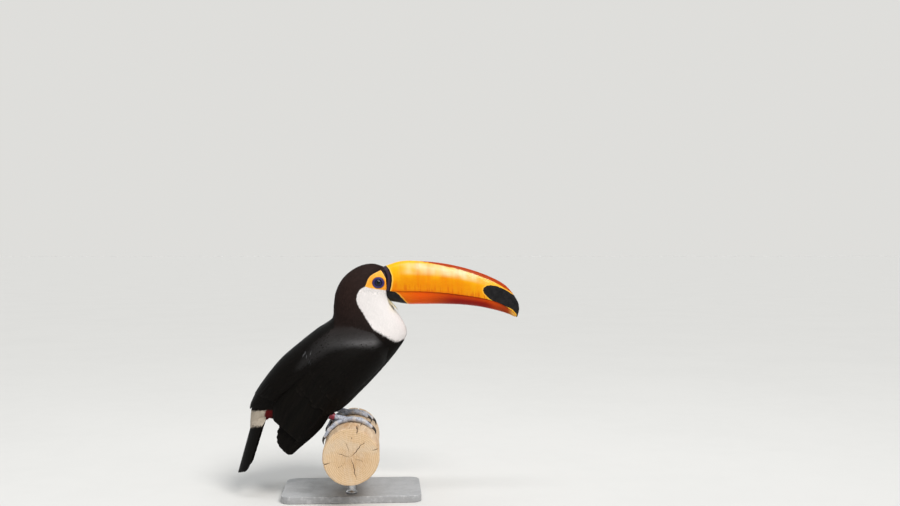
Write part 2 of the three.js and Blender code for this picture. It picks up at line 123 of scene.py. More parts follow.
# Digit: the angle round the log where it ends, its spread, its radius and its claw's angle.
TOES = {2: (31, -9, 3.7, 15), 3: (43, 4, 4, 17), 4: (-64, 9, 3.8, -16), 1: (-46, -7, 3.5, -13)}
LOG = {"radius": 42, "length": 200, "height": 76}
STAND = {"length": 210, "depth": 130, "thickness": 11, "corner": 16, "bevel": 1.5}
ROD = {"radius": 6, "spacing": 84}
GAP = 0.3  # between pieces that touch
UNMARKED = 30.0  # stands for a long way from a marking
EYE = {"x": 40, "z": 327.5, "radius": 7.6, "depth": 4.6, "opening": 5.3, "ring": 9}

# Outlines of the markings on the bird's side, as x and z.
FACE_PATCH = [
    (43.6, 346.5), (39.2, 344.3), (32.7, 341.1), (27.3, 337.3), (24, 332.9), (21.8, 326.3),
    (19.6, 322), (21.8, 320.9), (26.2, 319.5), (34.9, 318.2), (43.6, 316.8), (53, 315.5),
    (58, 317), (58, 331), (50.5, 335), (47.5, 341),
]
BIB = [
    (19.5, 322), (12, 316.6), (7.7, 309), (6.6, 302.4), (7.7, 295.9), (11.5, 289.3),
    (17.5, 279.5), (22.9, 271.8), (31.9, 257.4), (44, 249.7), (54.7, 243.5), (63.8, 237.4),
    (69.9, 236.6), (77.5, 239), (110, 244), (110, 316), (53, 316.2), (34.9, 319), (26, 321),
]

# ---- lines and numbers


def grids(*values):
    """The values as arrays of one shape."""
    return np.broadcast_arrays(*(np.asarray(v, float) for v in values))


def xyz(x, y, z):
    """Points from their three coordinates."""
    return np.stack(grids(x, y, z), -1)


def between(low, high, share):
    """The value that lies a share of the way from low to high."""
    return low + (high - low) * share


def circle(count):
    """The angles of evenly spaced places round a circle."""
    return TURN * np.arange(count)[None, :] / count


def shares(count):
    """The same places as shares of the way round, 0 to 1."""
    return np.arange(count)[None, :] / count


def ease(x, low, high):
    """0 below low, 1 above high, and an S-curve between."""
    t = np.clip((x - low) / (high - low), 0, 1)
    return t * t * (3 - 2 * t)


def norm(vectors):
    """The vectors' lengths."""
    return np.linalg.norm(vectors, axis=-1)


def unit(vectors):
    """The vectors at length 1."""
    return vectors / np.maximum(norm(vectors)[..., None], 1e-9)


def through(values):
    """A smooth line through the values by station number: a uniform Catmull-Rom curve, carried
    straight on past both ends."""
    table = np.array(values, float)
    single = table.ndim == 1
    table = table.reshape(len(table), -1)
    last = len(table) - 1
    table = np.vstack([2 * table[0] - table[1], table, 2 * table[-1] - table[-2]])

    def at(station):
        station = np.asarray(station, float)
        inside = np.clip(station, 0, last)
        first = np.minimum(inside.astype(int), last - 1)
        t = (inside - first)[..., None]
        a, b, c, d = (table[first + k] for k in range(4))
        bend = 2 * a - 5 * b + 4 * c - d + t * (3 * b - a - 3 * c + d)
        point = b + 0.5 * t * (c - a + t * bend)
        over = (station - inside)[..., None]
        point = point + over * np.where(over < 0, table[2] - table[1], table[-2] - table[-3])
        return point[..., 0] if single else point

    return at


def columns(rows, *picks):
    """Lines through the picked columns of a table of stations."""
    table = np.array(rows, float)
    return [through(table[:, p]) for p in picks]


def ripple(points, size, seed, waves=16):
    """Smooth noise of about -1 to 1: the sum of sine waves in random directions, each about size
    mm long."""
    rng = np.random.default_rng(seed)
    ways = unit(rng.normal(size=(waves, 3))) * TURN / size * rng.uniform(0.6, 1.7, (waves, 1))
    return np.sin(points @ ways.T + rng.uniform(0, TURN, waves)).sum(-1) * math.sqrt(1 / waves)


def inside_by(outline, points):
    """How far points lie inside a closed outline seen from the side, in mm; below 0 outside. The
    distance is to the nearest side, and the sign comes from counting the sides crossed on the way
    out."""
    x, z = points[..., 0], points[..., -1]
    ring = np.array(outline, float)
    ends = np.roll(ring, -1, axis=0)
    side = ends - ring
    dx, dz = x[..., None] - ring[:, 0], z[..., None] - ring[:, 1]
    t = np.clip((dx * side[:, 0] + dz * side[:, 1]) / (side**2).sum(1), 0, 1)
    far = np.hypot(dx - t * side[:, 0], dz - t * side[:, 1]).min(-1)
    spans = (ring[:, 1] > z[..., None]) != (ends[:, 1] > z[..., None])
    rise = np.where(side[:, 1] == 0, 1e-9, side[:, 1])
    crossed = (spans & (dx < side[:, 0] * dz / rise)).sum(-1) % 2 == 1
    return np.where(crossed, far, -far)


def spaced(low, high, count, peaks):
    """count + 1 numbers from low to high, set closer about each peak's place by its gain."""
    x = np.linspace(low, high, 4001)
    density = 1 + sum(gain * np.exp(-(((x - place) / reach) ** 2)) for place, reach, gain in peaks)
    total = np.concatenate([[0], np.cumsum((density[1:] + density[:-1]) / 2)])
    return np.interp(np.linspace(0, total[-1], count + 1), total, x)


# ---- surfaces of the bird

back_line, belly_line, body_half = columns(BODY, slice(0, 2), slice(2, 4), 4)
ridge_line, mouth_line, keel_line, bill_half = columns(
    BILL, slice(0, 2), slice(2, 4), slice(4, 6), 6
)
lobe_outer = through(LOBE_OUTER)


def body_point(station, turn, grow=0.0):
    """The body's oval at a station. Its height runs as a cosine from back line to belly line, its
    side as a sine times the half width, fuller below, and grow swells both. The right side is
    turn 0 to 0.5."""
    station, turn, grow = grids(station, turn, grow)
    back, belly = back_line(station), belly_line(station)
    height = np.cos(TURN * turn)
    rise = (height * (0.5 + grow / norm(back - belly)))[..., None]
    middle = (back + belly) / 2 + (back - belly) * rise
    chin = ease(station, NECK, BILL_BASE)
    fullness = between(FULLNESS["body"], FULLNESS["chin"], chin)
    side = np.sin(TURN * turn) * (body_half(station) + grow)
    side = side * (1 - fullness * height * (1 - 0.4 * chin * height))
    return xyz(middle[..., 0], -side, middle[..., 1])


def fold_surface(rows, dip=0.0):
    """The outer face of a folded wing's shell. along runs from the bend to the tips and down from
    the upper edge to the lower: the side distance bows through its middle value, half the
    thickness is added as a half ellipse, and the bend itself dips into the body's side."""
    upper, lower, side, thick = columns(rows, slice(0, 2), slice(2, 4), slice(4, 7), 7)

    def at(along, down, grow=0.0):
        along, down, grow = grids(along, down, grow)
        edge = between(upper(along), lower(along), down[..., None])
        top, middle, bottom = np.moveaxis(side(along), -1, 0)
        bow = 4 * down * (1 - down)
        out = between(top, bottom, np.clip(down, -0.2, 1.2)) + (middle - (top + bottom) / 2) * bow
        out = out + thick(along) / 2 * np.sqrt(np.clip(bow, 0, 1)) + grow
        out = out - dip * (1 - ease(along, -0.3, 0.8))
        return xyz(edge[..., 0], -out, edge[..., 1])

    return at


wing_point = fold_surface(WING, WING_DIP)
primary_point = fold_surface(PRIMARIES)


def under_lobe(along, across, grow):
    """The body's surface where the shoulder lobe lies on it, in the lobe's own numbers."""
    turn = between(LOBE["inner"], lobe_outer(along * 6), across)
    return body_point(between(LOBE["from"], LOBE["to"], along), turn, grow)


def lobe_point(along, across, grow=0.0):
    """The pad of shoulder feathers on the body, front to rear and out from the back: the body's
    surface raised by a swell that is round at both sides and both ends."""
    along, across, grow = grids(along, across, grow)
    swell = between(LOBE["thin"], LOBE["full"], np.clip(across, 0, 1.2))
    swell = swell * np.sin(np.pi * np.clip(across, 0, 1)) ** 0.35
    taper = np.sin(np.pi * np.clip(along * 0.94 + 0.03, 0.001, 0.999)) ** 0.4
    return under_lobe(along, across, LOBE["lift"] + swell * taper + grow)


def tail_point(along, across, grow=0.0):
    """The tail's upper face, root to tip and from -1 to 1 across: it widens from its root, arches
    down towards both sides, most at its root, and its sides are shorter."""
    along, across, grow = grids(along, across, grow)
    root, tip = np.array(TAIL["root"], float), np.array(TAIL["tip"], float)
    way = unit(tip - root)
    down = np.array([-way[1], way[0]])
    half = between(*TAIL["half"], ease(along, 0, 0.45))
    reach = np.linalg.norm(tip - root) * along - TAIL_GRADUATION * across**2 * along
    drop = between(*TAIL["arch"], along) * across**2 - grow
    point = root + reach[..., None] * way + drop[..., None] * down
    return xyz(point[..., 0], across * half, point[..., 1])


# The shoulder's own feathers lie over neck, wing and lobe alike: where they root on the bird's
# side, which way they lie, and the grid of x and z that the side distance is worked out on, with
# its shape and how many times it is blurred.
MANTLE = [
    (53, 238), (40, 260), (4, 270), (-34, 264), (-60, 244), (-82, 216), (-92, 194), (-76, 190),
    (-54, 204), (-28, 220), (4, 226), (28, 222), (42, 218),
]
LIE = np.array([[-0.78, -0.626], [0.626, -0.78]])
CELL, CORNER, CELLS, BLURS = 1.5, np.array([-190.0, 80.0]), (200, 192), 14


def drape_grid():
    """The side distance of body, wing and lobe together over a grid of x and z. The hollows
    between them are filled by blurring it again and again and keeping whichever is higher."""
    share, round_it = np.meshgrid(np.linspace(0, 1, 500), np.linspace(0, 1, 500))
    out = np.zeros(CELLS)
    body = body_point(2 + 8 * share, 0.02 + 0.46 * round_it)
    for points in (body, wing_point(7 * share, round_it), lobe_point(share, round_it)):
        cell = np.round((points[..., [0, 2]] - CORNER) / CELL).astype(int)
        np.maximum.at(out, (cell[..., 0], cell[..., 1]), -points[..., 1])
    made = out
    for step in range(BLURS):
        for axis in (0, 1):
            made = sum(np.roll(made, k, axis) for k in (-2, -1, 0, 1, 2)) / 5
        made = np.maximum(made, out) if step < BLURS - 1 else made
    return made


DRAPE = drape_grid()


def drape_point(lie, across, grow=0.0):
    """The bird's side as one draped surface, in mm along the shoulder feathers' lie and across
    it: the grid's side distance, read between its four nearest cells."""
    lie, across, grow = grids(lie, across, grow)
    side = np.stack([lie, across], -1) @ LIE
    place = (side - CORNER) / CELL
    cell = np.clip(np.floor(place).astype(int), 0, np.array(CELLS) - 2)
    (i, j), (s, t) = np.moveaxis(cell, -1, 0), np.moveaxis(np.clip(place - cell, 0, 1), -1, 0)
    near = DRAPE[i, j] * (1 - s) + DRAPE[i + 1, j] * s
    far = DRAPE[i, j + 1] * (1 - s) + DRAPE[i + 1, j + 1] * s
    return xyz(side[..., 0], -(between(near, far, t) + grow), side[..., 1])


def limb_point(places, radii, flat=1.0):
    """A round limb's surface through places with radii: t along it, turn round it, and grow adds
    to the radius. Its section stands square to the line."""
    path, radius = through(places), through(radii)
    last = len(places) - 1

    def at(t, turn, grow=0.0):
        t, turn, grow = grids(t, turn, grow)
        ahead = unit(path(np.minimum(1, t + 0.02) * last) - path(np.maximum(0, t - 0.02) * last))
        up = unit(np.cross(ahead, [0.0, 1.0, 0.0]))
        aside = unit(np.cross(up, ahead))
        reach = (radius(t * last) + grow)[..., None]
        around = np.cos(TURN * turn)[..., None] * aside * flat + np.sin(TURN * turn)[..., None] * up
        return path(t * last) + around * reach

    return at


thigh_point = limb_point([(x, -y, z) for x, y, z, _ in THIGH], [radius for *_, radius in THIGH])


def over_log(degrees, side, height):
    """The place at an angle round the log from its crown, at a height over its wood."""
    angle, reach = np.radians(degrees), LOG["radius"] + height
    return [np.sin(angle) * reach, side, LOG["height"] + np.cos(angle) * reach]


# Where the eye sits in the body's own numbers, and how far out the head's side is there.
_stations, _turns = np.meshgrid(np.linspace(11, 14, 301), np.linspace(0.1, 0.4, 301))
_near = body_point(_stations, _turns)
_best = np.hypot(_near[..., 0] - EYE["x"], _near[..., 2] - EYE["z"]).argmin()
EYE_STATION, EYE_TURN = _stations.flat[_best], _turns.flat[_best]
EYE_SIDE = -_near.reshape(-1, 3)[_best, 1]


def eye_distance(points):
    """The distance from the eye's axis, seen from the side, a little wide across the opening."""
    return np.hypot((points[..., 0] - EYE["x"]) / 1.04, (points[..., 2] - EYE["z"]) / 0.97)


# ---- shells and pieces


def volume(points, quads, tris):
    """Six times a closed shell's volume, below 0 where its faces point inwards."""
    corners = np.vstack([quads[:, [0, 1, 2]], quads[:, [0, 2, 3]], tris])
    a, b, c = (points[corners[:, k]] for k in range(3))
    return (a * np.cross(b, c)).sum()


def shell(points, quads, tris=None, **marks):
    """A closed shell with its faces turned outwards. marks are arrays over its points."""
    tris = np.zeros((0, 3), int) if tris is None else tris
    if volume(points, quads, tris) < 0:
        quads, tris = quads[:, ::-1], tris[:, ::-1]
    return {"points": points, "quads": quads, "tris": tris, "marks": marks}


def loft(rings, **marks):
    """A closed shell through rings of points, shaped rows x around x 3, with a fan to the middle
    of each end. A mark is given over the rings, and each end takes the mean of its ring."""
    rows, around = rings.shape[:2]
    points = np.vstack([rings.reshape(-1, 3), rings[0].mean(0), rings[-1].mean(0)])
    here = np.arange(around)
    after = (here + 1) % around
    row = np.arange(rows - 1)[:, None] * around
    quads = np.stack([row + here, row + after, row + around + after, row + around + here], -1)
    end = (rows - 1) * around
    first, last = np.full(around, rows * around), np.full(around, rows * around + 1)
    tris = np.vstack([
        np.stack([after, here, first], -1), np.stack([end + here, end + after, last], -1)
    ])
    for name, mark in marks.items():
        mark = np.asarray(mark, float).reshape(rows * around, *np.shape(mark)[2:])
        marks[name] = np.concatenate([mark, [mark[:around].mean(0), mark[-around:].mean(0)]])
    return shell(points, quads.reshape(-1, 4), tris, **marks)


def joined(shells):
    """Several shells as one, with their faces renumbered."""
    starts = np.cumsum([0] + [len(s["points"]) for s in shells[:-1]])
    faces = {k: np.vstack([s[k] + n for s, n in zip(shells, starts)]) for k in ("quads", "tris")}
    marks = {k: np.concatenate([s["marks"][k] for s in shells]) for k in shells[0]["marks"]}
    return {"points": np.vstack([s["points"] for s in shells]), **faces, "marks": marks}


def mirrored(made):
    """The same shell on the bird's other side."""
    faces = {k: made[k][:, ::-1] for k in ("quads", "tris")}
    return {"points": made["points"] * [1, -1, 1], **faces, "marks": made["marks"]}


MARK_KINDS = {
    (): ("FLOAT", "value"), (3,): ("FLOAT_VECTOR", "vector"), (4,): ("FLOAT_COLOR", "color")
}


def make_piece(name, made, material, slot, replaces=()):
    """A mesh object from a shell. The mark rim parts the shading between two rim points, the mark
    root becomes the map OFBake, and each other mark becomes an attribute of its name."""
    def fill(data, field, values, kind=np.float32):
        data.foreach_set(field, np.asarray(values).astype(kind).ravel())

    mesh = bpy.data.meshes.new(name)
    corners = np.concatenate([made["quads"].ravel(), made["tris"].ravel()])
    sizes = np.repeat([4, 3], [len(made["quads"]), len(made["tris"])])
    mesh.vertices.add(len(made["points"]))
    fill(mesh.vertices, "co", made["points"] * MM)
    mesh.loops.add(len(corners))
    fill(mesh.loops, "vertex_index", corners, np.int32)
    mesh.polygons.add(len(sizes))
    fill(mesh.polygons, "loop_start", np.cumsum(sizes) - sizes, np.int32)
    fill(mesh.polygons, "use_smooth", np.ones(len(sizes)), bool)
    mesh.update(calc_edges=True)
    for mark, values in made["marks"].items():
        if mark == "rim":
            ends = np.empty(len(mesh.edges) * 2, np.int32)
            mesh.edges.foreach_get("vertices", ends)
            sharp = values.astype(bool)[ends.reshape(-1, 2)].all(1)
            fill(mesh.attributes.new("sharp_edge", "BOOLEAN", "EDGE").data, "value", sharp, bool)
        elif mark == "root":
            fill(mesh.uv_layers.new(name="OFBake").data, "uv", values[corners])
        else:
            kind, field = MARK_KINDS[values.shape[1:]]
            fill(mesh.attributes.new(mark, kind, "POINT").data, field, values)
    if mesh.validate():
        raise RuntimeError(f"the mesh of {name} had faults")
    mesh.materials.append(material)
    piece = bpy.data.objects.new(name, mesh)
    bpy.context.scene.collection.objects.link(piece)
    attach(piece, "root")
    if replaces:
        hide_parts(*replaces)
    return piece


# ---- vanes


UNEVEN_LIFT = 0.03  # mm, by chance from one vane to the next
WHOLE_SHEET = (0.0, 0.0, 1.0, 1.0)  # of the map: corner and size


def vane_grid(rows, acrosses, bunch=1.0):
    """A thin closed vane's points: along 0 to 1, closer towards the tip by a power, across -1 to
    1, and face 1 on top, -1 beneath and 0 on the rim that both share; then its quads."""
    wide = len(acrosses)
    along = np.repeat(1 - np.linspace(1, 0, rows + 1) ** bunch, wide)
    across = np.tile(acrosses, rows + 1)
    top = np.arange((rows + 1) * wide).reshape(rows + 1, wide)
    inner = np.zeros(top.shape, bool)
    inner[1:-1, 1:-1] = True
    under = top.copy()
    under[inner] = top.size + np.arange(inner.sum())
    patch = lambda g: np.stack([g[:-1, :-1], g[:-1, 1:], g[1:, 1:], g[1:, :-1]], -1).reshape(-1, 4)
    inner = inner.ravel()
    return (
        np.concatenate([along, along[inner]]),
        np.concatenate([across, across[inner]]),
        np.concatenate([np.where(inner, 1.0, 0.0), np.full(inner.sum(), -1.0)]),
        np.vstack([patch(top), patch(under)[:, ::-1]]),
    )


def vane_shell(points, grid, tints, roots, chance):
    """Many vanes as one shell. points is vanes x points of one x 3, and each vane has a tint, a
    root on the map and a chance number."""
    along, across, face, quads = grid
    many, each = points.shape[:2]
    spread = lambda v: np.broadcast_to(v, (many, each)).ravel()
    small = np.stack([across * 0.0014, along * 0.0028], -1)
    return shell(
        points.reshape(-1, 3),
        (quads[None] + np.arange(many)[:, None, None] * each).reshape(-1, 4),
        rim=spread(face == 0).astype(float),
        vane=np.stack([spread(across), spread(along), spread(chance[:, None])], -1),
        tint=np.repeat(tints, each, axis=0),
        root=(roots[:, None] + small[None]).reshape(-1, 2),
    )


def on_sheet(roots, sheet):
    """Where the roots lie on a rectangle of the map, by their own places on their surface."""
    low, high = roots.min(0), roots.max(0)
    place = ((roots - low) / np.maximum(high - low, 1e-6))[:, ::-1]
    return np.array(sheet[:2]) + (0.004 + 0.988 * place) * np.array(sheet[2:])


def slopes(surface, first, second, small=1e-3):
    """How fast the surface's points move with its first and with its second number."""
    return (
        (surface(first + small, second) - surface(first - small, second)) / (2 * small),
        (surface(first, second + small) - surface(first, second - small)) / (2 * small),
    )


def lay_vanes(surface, roots, length, width, lift, rng, tints, rows=3, way=-1, lean=0.0,
              twist=0.09, camber=0.08, thick=0.08, fray=0.03, sheet=WHOLE_SHEET):
    """Body feathers over a surface, one for each root. A vane runs way along the surface's first
    number, turned by lean and a chance twist. Across, it is its width times an outline that swells
    from the quill and narrows to a soft point. Its height goes from one lift at its root to the
    other at its tip as a parabola that levels out there, less a camber towards its sides. A step in
    mm is turned into the surface's own numbers by solving with both slopes at the root."""
    grid = vane_grid(rows, np.array([-1.0, 0, 1]))
    along, across, face, _ = grid
    first, second = roots[:, :1], roots[:, 1:]
    slope_a, slope_b = slopes(surface, first, second)
    ahead = way * unit(slope_a)
    aside = unit(np.cross(np.cross(ahead, slope_b), ahead))
    angle = rng.normal(0, twist, first.shape) + np.reshape(lean, (-1, 1))
    c, s = np.cos(angle)[..., None], np.sin(angle)[..., None]
    ahead, aside = c * ahead + s * aside, c * aside - s * ahead
    dot = lambda p, q: (p * q).sum(-1)
    e, f, g = dot(slope_a, slope_a), dot(slope_a, slope_b), dot(slope_b, slope_b)

    def in_numbers(step):
        a, b = dot(step, slope_a), dot(step, slope_b)
        return (g * a - f * b) / (e * g - f * f), (e * b - f * a) / (e * g - f * f)

    (ahead_a, ahead_b), (aside_a, aside_b) = in_numbers(ahead), in_numbers(aside)
    outline = 0.35 + 0.65 * ease(along, 0, 0.4)
    outline = outline * np.sqrt(1 - 0.88 * np.clip((along - 0.5) / 0.5, 0, 1) ** 2)
    frayed = rng.normal(0, fray, (len(roots), len(along))) * (face == 0) * ease(along, 0.5, 1)
    go = np.reshape(length, (-1, 1)) * (along - 0.2 * across**2 * along**2 + frayed)
    half = np.reshape(width, (-1, 1)) / 2
    out = half * across * outline
    low, high = (np.reshape(v, (-1, 1)) for v in lift)
    height = between(low, high, 1 - (1 - along) ** 2) - camber * half * across**2 * outline
    height = height + rng.normal(0, UNEVEN_LIFT, first.shape) + face * thick / 2
    first = first + go * ahead_a + out * aside_a
    second = second + go * ahead_b + out * aside_b
    points = surface(first, second, height)
    return vane_shell(points, grid, tints, on_sheet(roots, sheet), rng.random(len(roots)))


# Where a flight feather's points lie across it, closest about its shaft.
SHAFTED = np.array([-1, -0.74, -0.45, -0.16, -0.04, 0, 0.04, 0.16, 0.45, 0.74, 1])


def lay_quills(surface, roots, tips, width, lift, rng, tints, rows=26, lead=0.36, bow=0.0,
               tilt=0.0, thick=0.5, sheet=WHOLE_SHEET):
    """Flight feathers over a surface from roots to tips, both in its own numbers. The shaft runs
    straight between them with a sine bow. Across, the leading vane is narrow and the trailing one
    broad, each times an outline that opens from the quill and closes in a round tip. Its height
    goes evenly between the lifts and is tilted across, and the shaft stands up as a ridge."""
    grid = vane_grid(rows, SHAFTED, 1.6)
    along, across, face, _ = grid
    many = len(roots)
    width = np.reshape(width, (-1, 1))
    reach = norm(surface(*tips.T) - surface(*roots.T))[:, None]
    first = between(roots[:, :1], tips[:, :1], along)
    second = between(roots[:, 1:], tips[:, 1:], along) + bow * np.sin(np.pi * along)
    slope = norm(slopes(surface, first, second)[1])
    closing = 1 - 0.62 * width / reach
    outline = 0.3 + 0.7 * ease(along, 0, 0.2)
    outline = outline * np.sqrt(1 - 0.99 * np.clip((along - closing) / (1 - closing), 0, 1) ** 2)
    edge = np.abs(across) > 0.9
    notched = 1 - 0.07 * rng.random((many, len(along))) ** 3 * edge * ease(along, 0.3, 0.9)
    share = np.where(across < 0, lead, 1 - lead)
    out = across * share * width * outline * notched
    low, high = (np.reshape(v, (-1, 1)) for v in lift)
    shaft = 0.3 * np.exp(-((across / 0.05) ** 2)) * (1 - 0.7 * along)
    body = face * (thick / 2) * (1 - across**2)
    droop = -0.05 * np.abs(out) * np.abs(across)
    height = between(low, high, along) + tilt * out + body + np.where(face > 0, shaft, 0) + droop
    height = height + rng.normal(0, UNEVEN_LIFT, (many, 1))
    points = surface(first, second + out / slope, height)
    return vane_shell(points, grid, tints, on_sheet(roots, sheet), rng.random(many))


def opaque(colours):
    """Colours with a fourth number, 1."""
    return np.concatenate([colours, np.ones(colours.shape[:-1] + (1,))], -1)


def shade(colour, count, rng, spread=0.12, drift=0.0):
    """Tints about one colour, each lighter or darker by chance and a little redder or bluer."""
    colour = np.array(colour, float)[:3]
    light = np.exp(rng.normal(0, spread, (count, 1)))
    hue = 1 + rng.normal(0, drift, (count, 3)) if drift else 1
    return opaque(np.clip(colour * light * hue, 0, 1))


# ---- finishes


class Wiring:
    """The nodes of one tree. Each call adds a node and gives back the output that is used."""

    def __init__(self, tree):
        self.tree = tree

    def plug(self, made, key, value):
        """Links an output to a socket, or sets the socket to a constant."""
        socket = made.inputs[key.replace("_", " ") if isinstance(key, str) else key]
        if isinstance(value, bpy.types.NodeSocket):
            self.tree.links.new(value, socket)
        else:
            socket.default_value = (*value[:3], 1) if socket.type == "RGBA" else value

    def node(self, kind, *values, out=0, settings=None, **inputs):
        """values go into the node's first sockets in turn, inputs into the sockets they name."""
        made = self.tree.nodes.new(f"ShaderNode{kind}")
        for key, value in (settings or {}).items():
            setattr(made, key, value)
        for key, value in (*enumerate(values), *inputs.items()):
            self.plug(made, key, value)
        return made.outputs[out]

    def maths(self, operation, a, b=0.5):
        return self.node("Math", a, b, settings={"operation": operation})

    def add(self, a, b):
        return self.maths("ADD", a, b)

    def mul(self, a, b):
        return self.maths("MULTIPLY", a, b)

    def mix(self, factor, a, b, blend="MIX"):
        made = self.node("Mix", factor, settings={"data_type": "RGBA", "blend_type": blend}).node
        self.plug(made, 6, a)
        self.plug(made, 7, b)
        return made.outputs[2]

    def range(self, value, low, high, to_low=0.0, to_high=1.0, kind="SMOOTHSTEP"):
        ends = (low, high, to_low, to_high)
        return self.node("MapRange", value, *ends, settings={"interpolation_type": kind})

    def place(self, scale=(1, 1, 1), turn=(0, 0, 0), shift=(0, 0, 0)):
        return self.node("Mapping", self.node("TexCoord", out="Object"), shift, turn, scale)

    def noise(self, vector, scale, detail=3.0, roughness=0.55, out="Fac"):
        return self.node("TexNoise", out=out, Vector=vector, Scale=scale, Detail=detail,
                         Roughness=roughness)

    def wander(self, scale, reach, detail=3.0):
        """Noise over the piece from -reach to reach."""
        noise = self.noise(self.place(), scale, detail)
        return self.range(noise, 0.0, 1.0, -reach, reach, "LINEAR")

    def pebbles(self, scale):
        return self.node("TexVoronoi", out="Distance", Vector=self.place(), Scale=scale)

    def mark(self, name, out="Fac"):
        return self.node("Attribute", out=out, settings={"attribute_name": name})

    def bump(self, height, strength, distance_mm):
        return self.node("Bump", Height=height, Strength=strength, Distance=distance_mm * MM)

    def group(self, tree, **inputs):
        return self.node("Group", settings={"node_tree": tree}, **inputs).node.outputs

    def mottled(self, colour, dark, size, amount):
        """A colour under speckle over the piece, and the speckle's height."""
        made = self.group(mottle(), Place=self.place(), Color=colour, Dark=dark, Size=size,
                          Amount=amount)
        return made["Color"], made["Height"]


def shared(name, inputs, outputs):
    """Turns a function that wires a node group into one that gives the group, built once. The
    function takes the wiring and the group's inputs, and gives its outputs by name."""
    def wrap(wire):
        def get():
            tree = bpy.data.node_groups.get(name)
            if tree:
                return tree
            tree = bpy.data.node_groups.new(name, "ShaderNodeTree")
            for way, sockets in (("INPUT", inputs), ("OUTPUT", outputs)):
                for label, kind in sockets.items():
                    tree.interface.new_socket(
                        name=label, in_out=way, socket_type=f"NodeSocket{kind}")
            w, leave = Wiring(tree), tree.nodes.new("NodeGroupOutput")
            for label, value in wire(w, tree.nodes.new("NodeGroupInput").outputs).items():
                w.plug(leave, label, value)
            return tree
        return get
    return wrap


@shared("Feather barbs", {"Vane": "Vector", "Tint": "Color", "Barbs": "Float", "Worn": "Float",
                          "Streak": "Float", "Edge": "Color"},
        {"Color": "Color", "Height": "Float"})
def barbs(w, given):
    """Barbs that slant from a vane's shaft to its tip: stripes along the vane, bent by the
    distance from the shaft. Gives the tint with streaks and a worn edge, and a height."""
    across, along, chance = w.node("SeparateXYZ", given["Vane"]).node.outputs
    far = w.maths("ABSOLUTE", across)
    slant = w.maths("SUBTRACT", along, w.mul(far, 0.3))
    place = w.node("CombineXYZ", w.mul(across, 0.7), w.mul(slant, 16.0), w.mul(chance, 97.0))
    clumps = w.noise(place, 1.6, 3.0, 0.6)
    wave = w.maths("SINE", w.mul(w.add(w.mul(slant, given["Barbs"]), w.mul(clumps, 1.4)), TURN))
    shaft = w.range(far, 0.02, 0.07, 1.0, 0.0)
    streak = w.mul(w.range(clumps, 0.35, 0.7), given["Streak"])
    streaked = w.mix(streak, given["Tint"], (0, 0, 0), "MULTIPLY")
    rim = w.maths("MAXIMUM", w.range(far, 0.8, 1.0), w.range(along, 0.93, 1.0))
    rim = w.mul(rim, w.mul(given["Worn"], w.range(chance, 0.2, 0.9)))
    return {"Color": w.mix(rim, streaked, given["Edge"]),
            "Height": w.add(w.add(w.mul(wave, 0.3), w.mul(clumps, 1.2)), shaft)}


@shared("Mottle", {"Place": "Vector", "Color": "Color", "Dark": "Color", "Size": "Float",
                   "Amount": "Float"}, {"Color": "Color", "Height": "Float"})
def mottle(w, given):
    """Two sizes of soft speckle over a place, with the share that they darken a colour by, and
    their height."""
    coarse = w.noise(given["Place"], given["Size"], 4.0, 0.6)
    fine = w.noise(given["Place"], w.mul(given["Size"], 7.0), 2.0)
    both = w.add(w.mul(coarse, 0.65), w.mul(fine, 0.35))
    share = w.mul(w.range(both, 0.38, 0.66), given["Amount"])
    return {"Color": w.mix(share, given["Color"], given["Dark"]), "Height": both}


@shared("Wood grain", {"Place": "Vector", "Fineness": "Float", "Stretch": "Vector"},
        {"Grain": "Float", "Fibres": "Float", "Height": "Float"})
def wood_grain(w, given):
    """Wood grain along the log: noise drawn out along its length, bent a little by a coarser one.
    Gives light and dark grain as 0 to 1, and a height."""
    drift = w.noise(given["Place"], 9.0, 2.0, 0.5, "Color")
    bent = w.node("VectorMath", drift, (0.02, 0.02, 0.02), given["Place"],
                  settings={"operation": "MULTIPLY_ADD"})
    drawn = w.node("VectorMath", bent, given["Stretch"], settings={"operation": "MULTIPLY"})
    grain = w.noise(drawn, given["Fineness"], 5.0, 0.62)
    fibres = w.noise(drawn, w.mul(given["Fineness"], 6.0), 3.0, 0.7)
    return {"Grain": w.range(grain, 0.3, 0.7), "Fibres": w.range(fibres, 0.35, 0.65),
            "Height": w.add(grain, w.mul(fibres, 0.5))}


def finish(name, **sockets):
    """Turns a function that wires a finish into one that gives the material, built once. sockets
    are the Principled shader's constant ones, and the function gives the rest by name."""
    def wrap(wire):
        def get(look=None):
            material = bpy.data.materials.get(name)
            if material:
                return material
            material = bpy.data.materials.new(name)
            material.use_nodes = True
            w = Wiring(material.node_tree)
            shader = next(n for n in w.tree.nodes if n.type == "BSDF_PRINCIPLED")
            for key, value in {**sockets, **wire(w, look)}.items():
                w.plug(shader, key, value)
            return material
        return get
    return wrap


def plumage(w, rough, edge, fineness, worn, depth_mm=0.04, streak=0.55):
    """Feathers: each one's own tint, streaked and edged by its barbs, with the barbs as bump."""
    made = w.group(barbs(), Vane=w.mark("vane", "Vector"), Tint=w.mark("tint", "Color"),
                   Barbs=fineness, Worn=worn, Streak=streak, Edge=edge)
    uneven = w.range(made["Height"], 0.2, 1.6, rough + 0.06, rough - 0.06, "LINEAR")
    return {"Base Color": made["Color"], "Roughness": uneven,
            "Normal": w.bump(made["Height"], 0.5, depth_mm)}


@finish("black plumage", Sheen_Weight=0.01, Sheen_Roughness=0.4, Sheen_Tint=(0.6, 0.66, 0.8))
def black_plumage(w, look):
    """The body's black feathers, matt and a little soft."""
    return {**plumage(w, 0.6, (0.02, 0.016, 0.014), 26.0, 0.3),
            "Specular IOR Level": look.black_gloss}


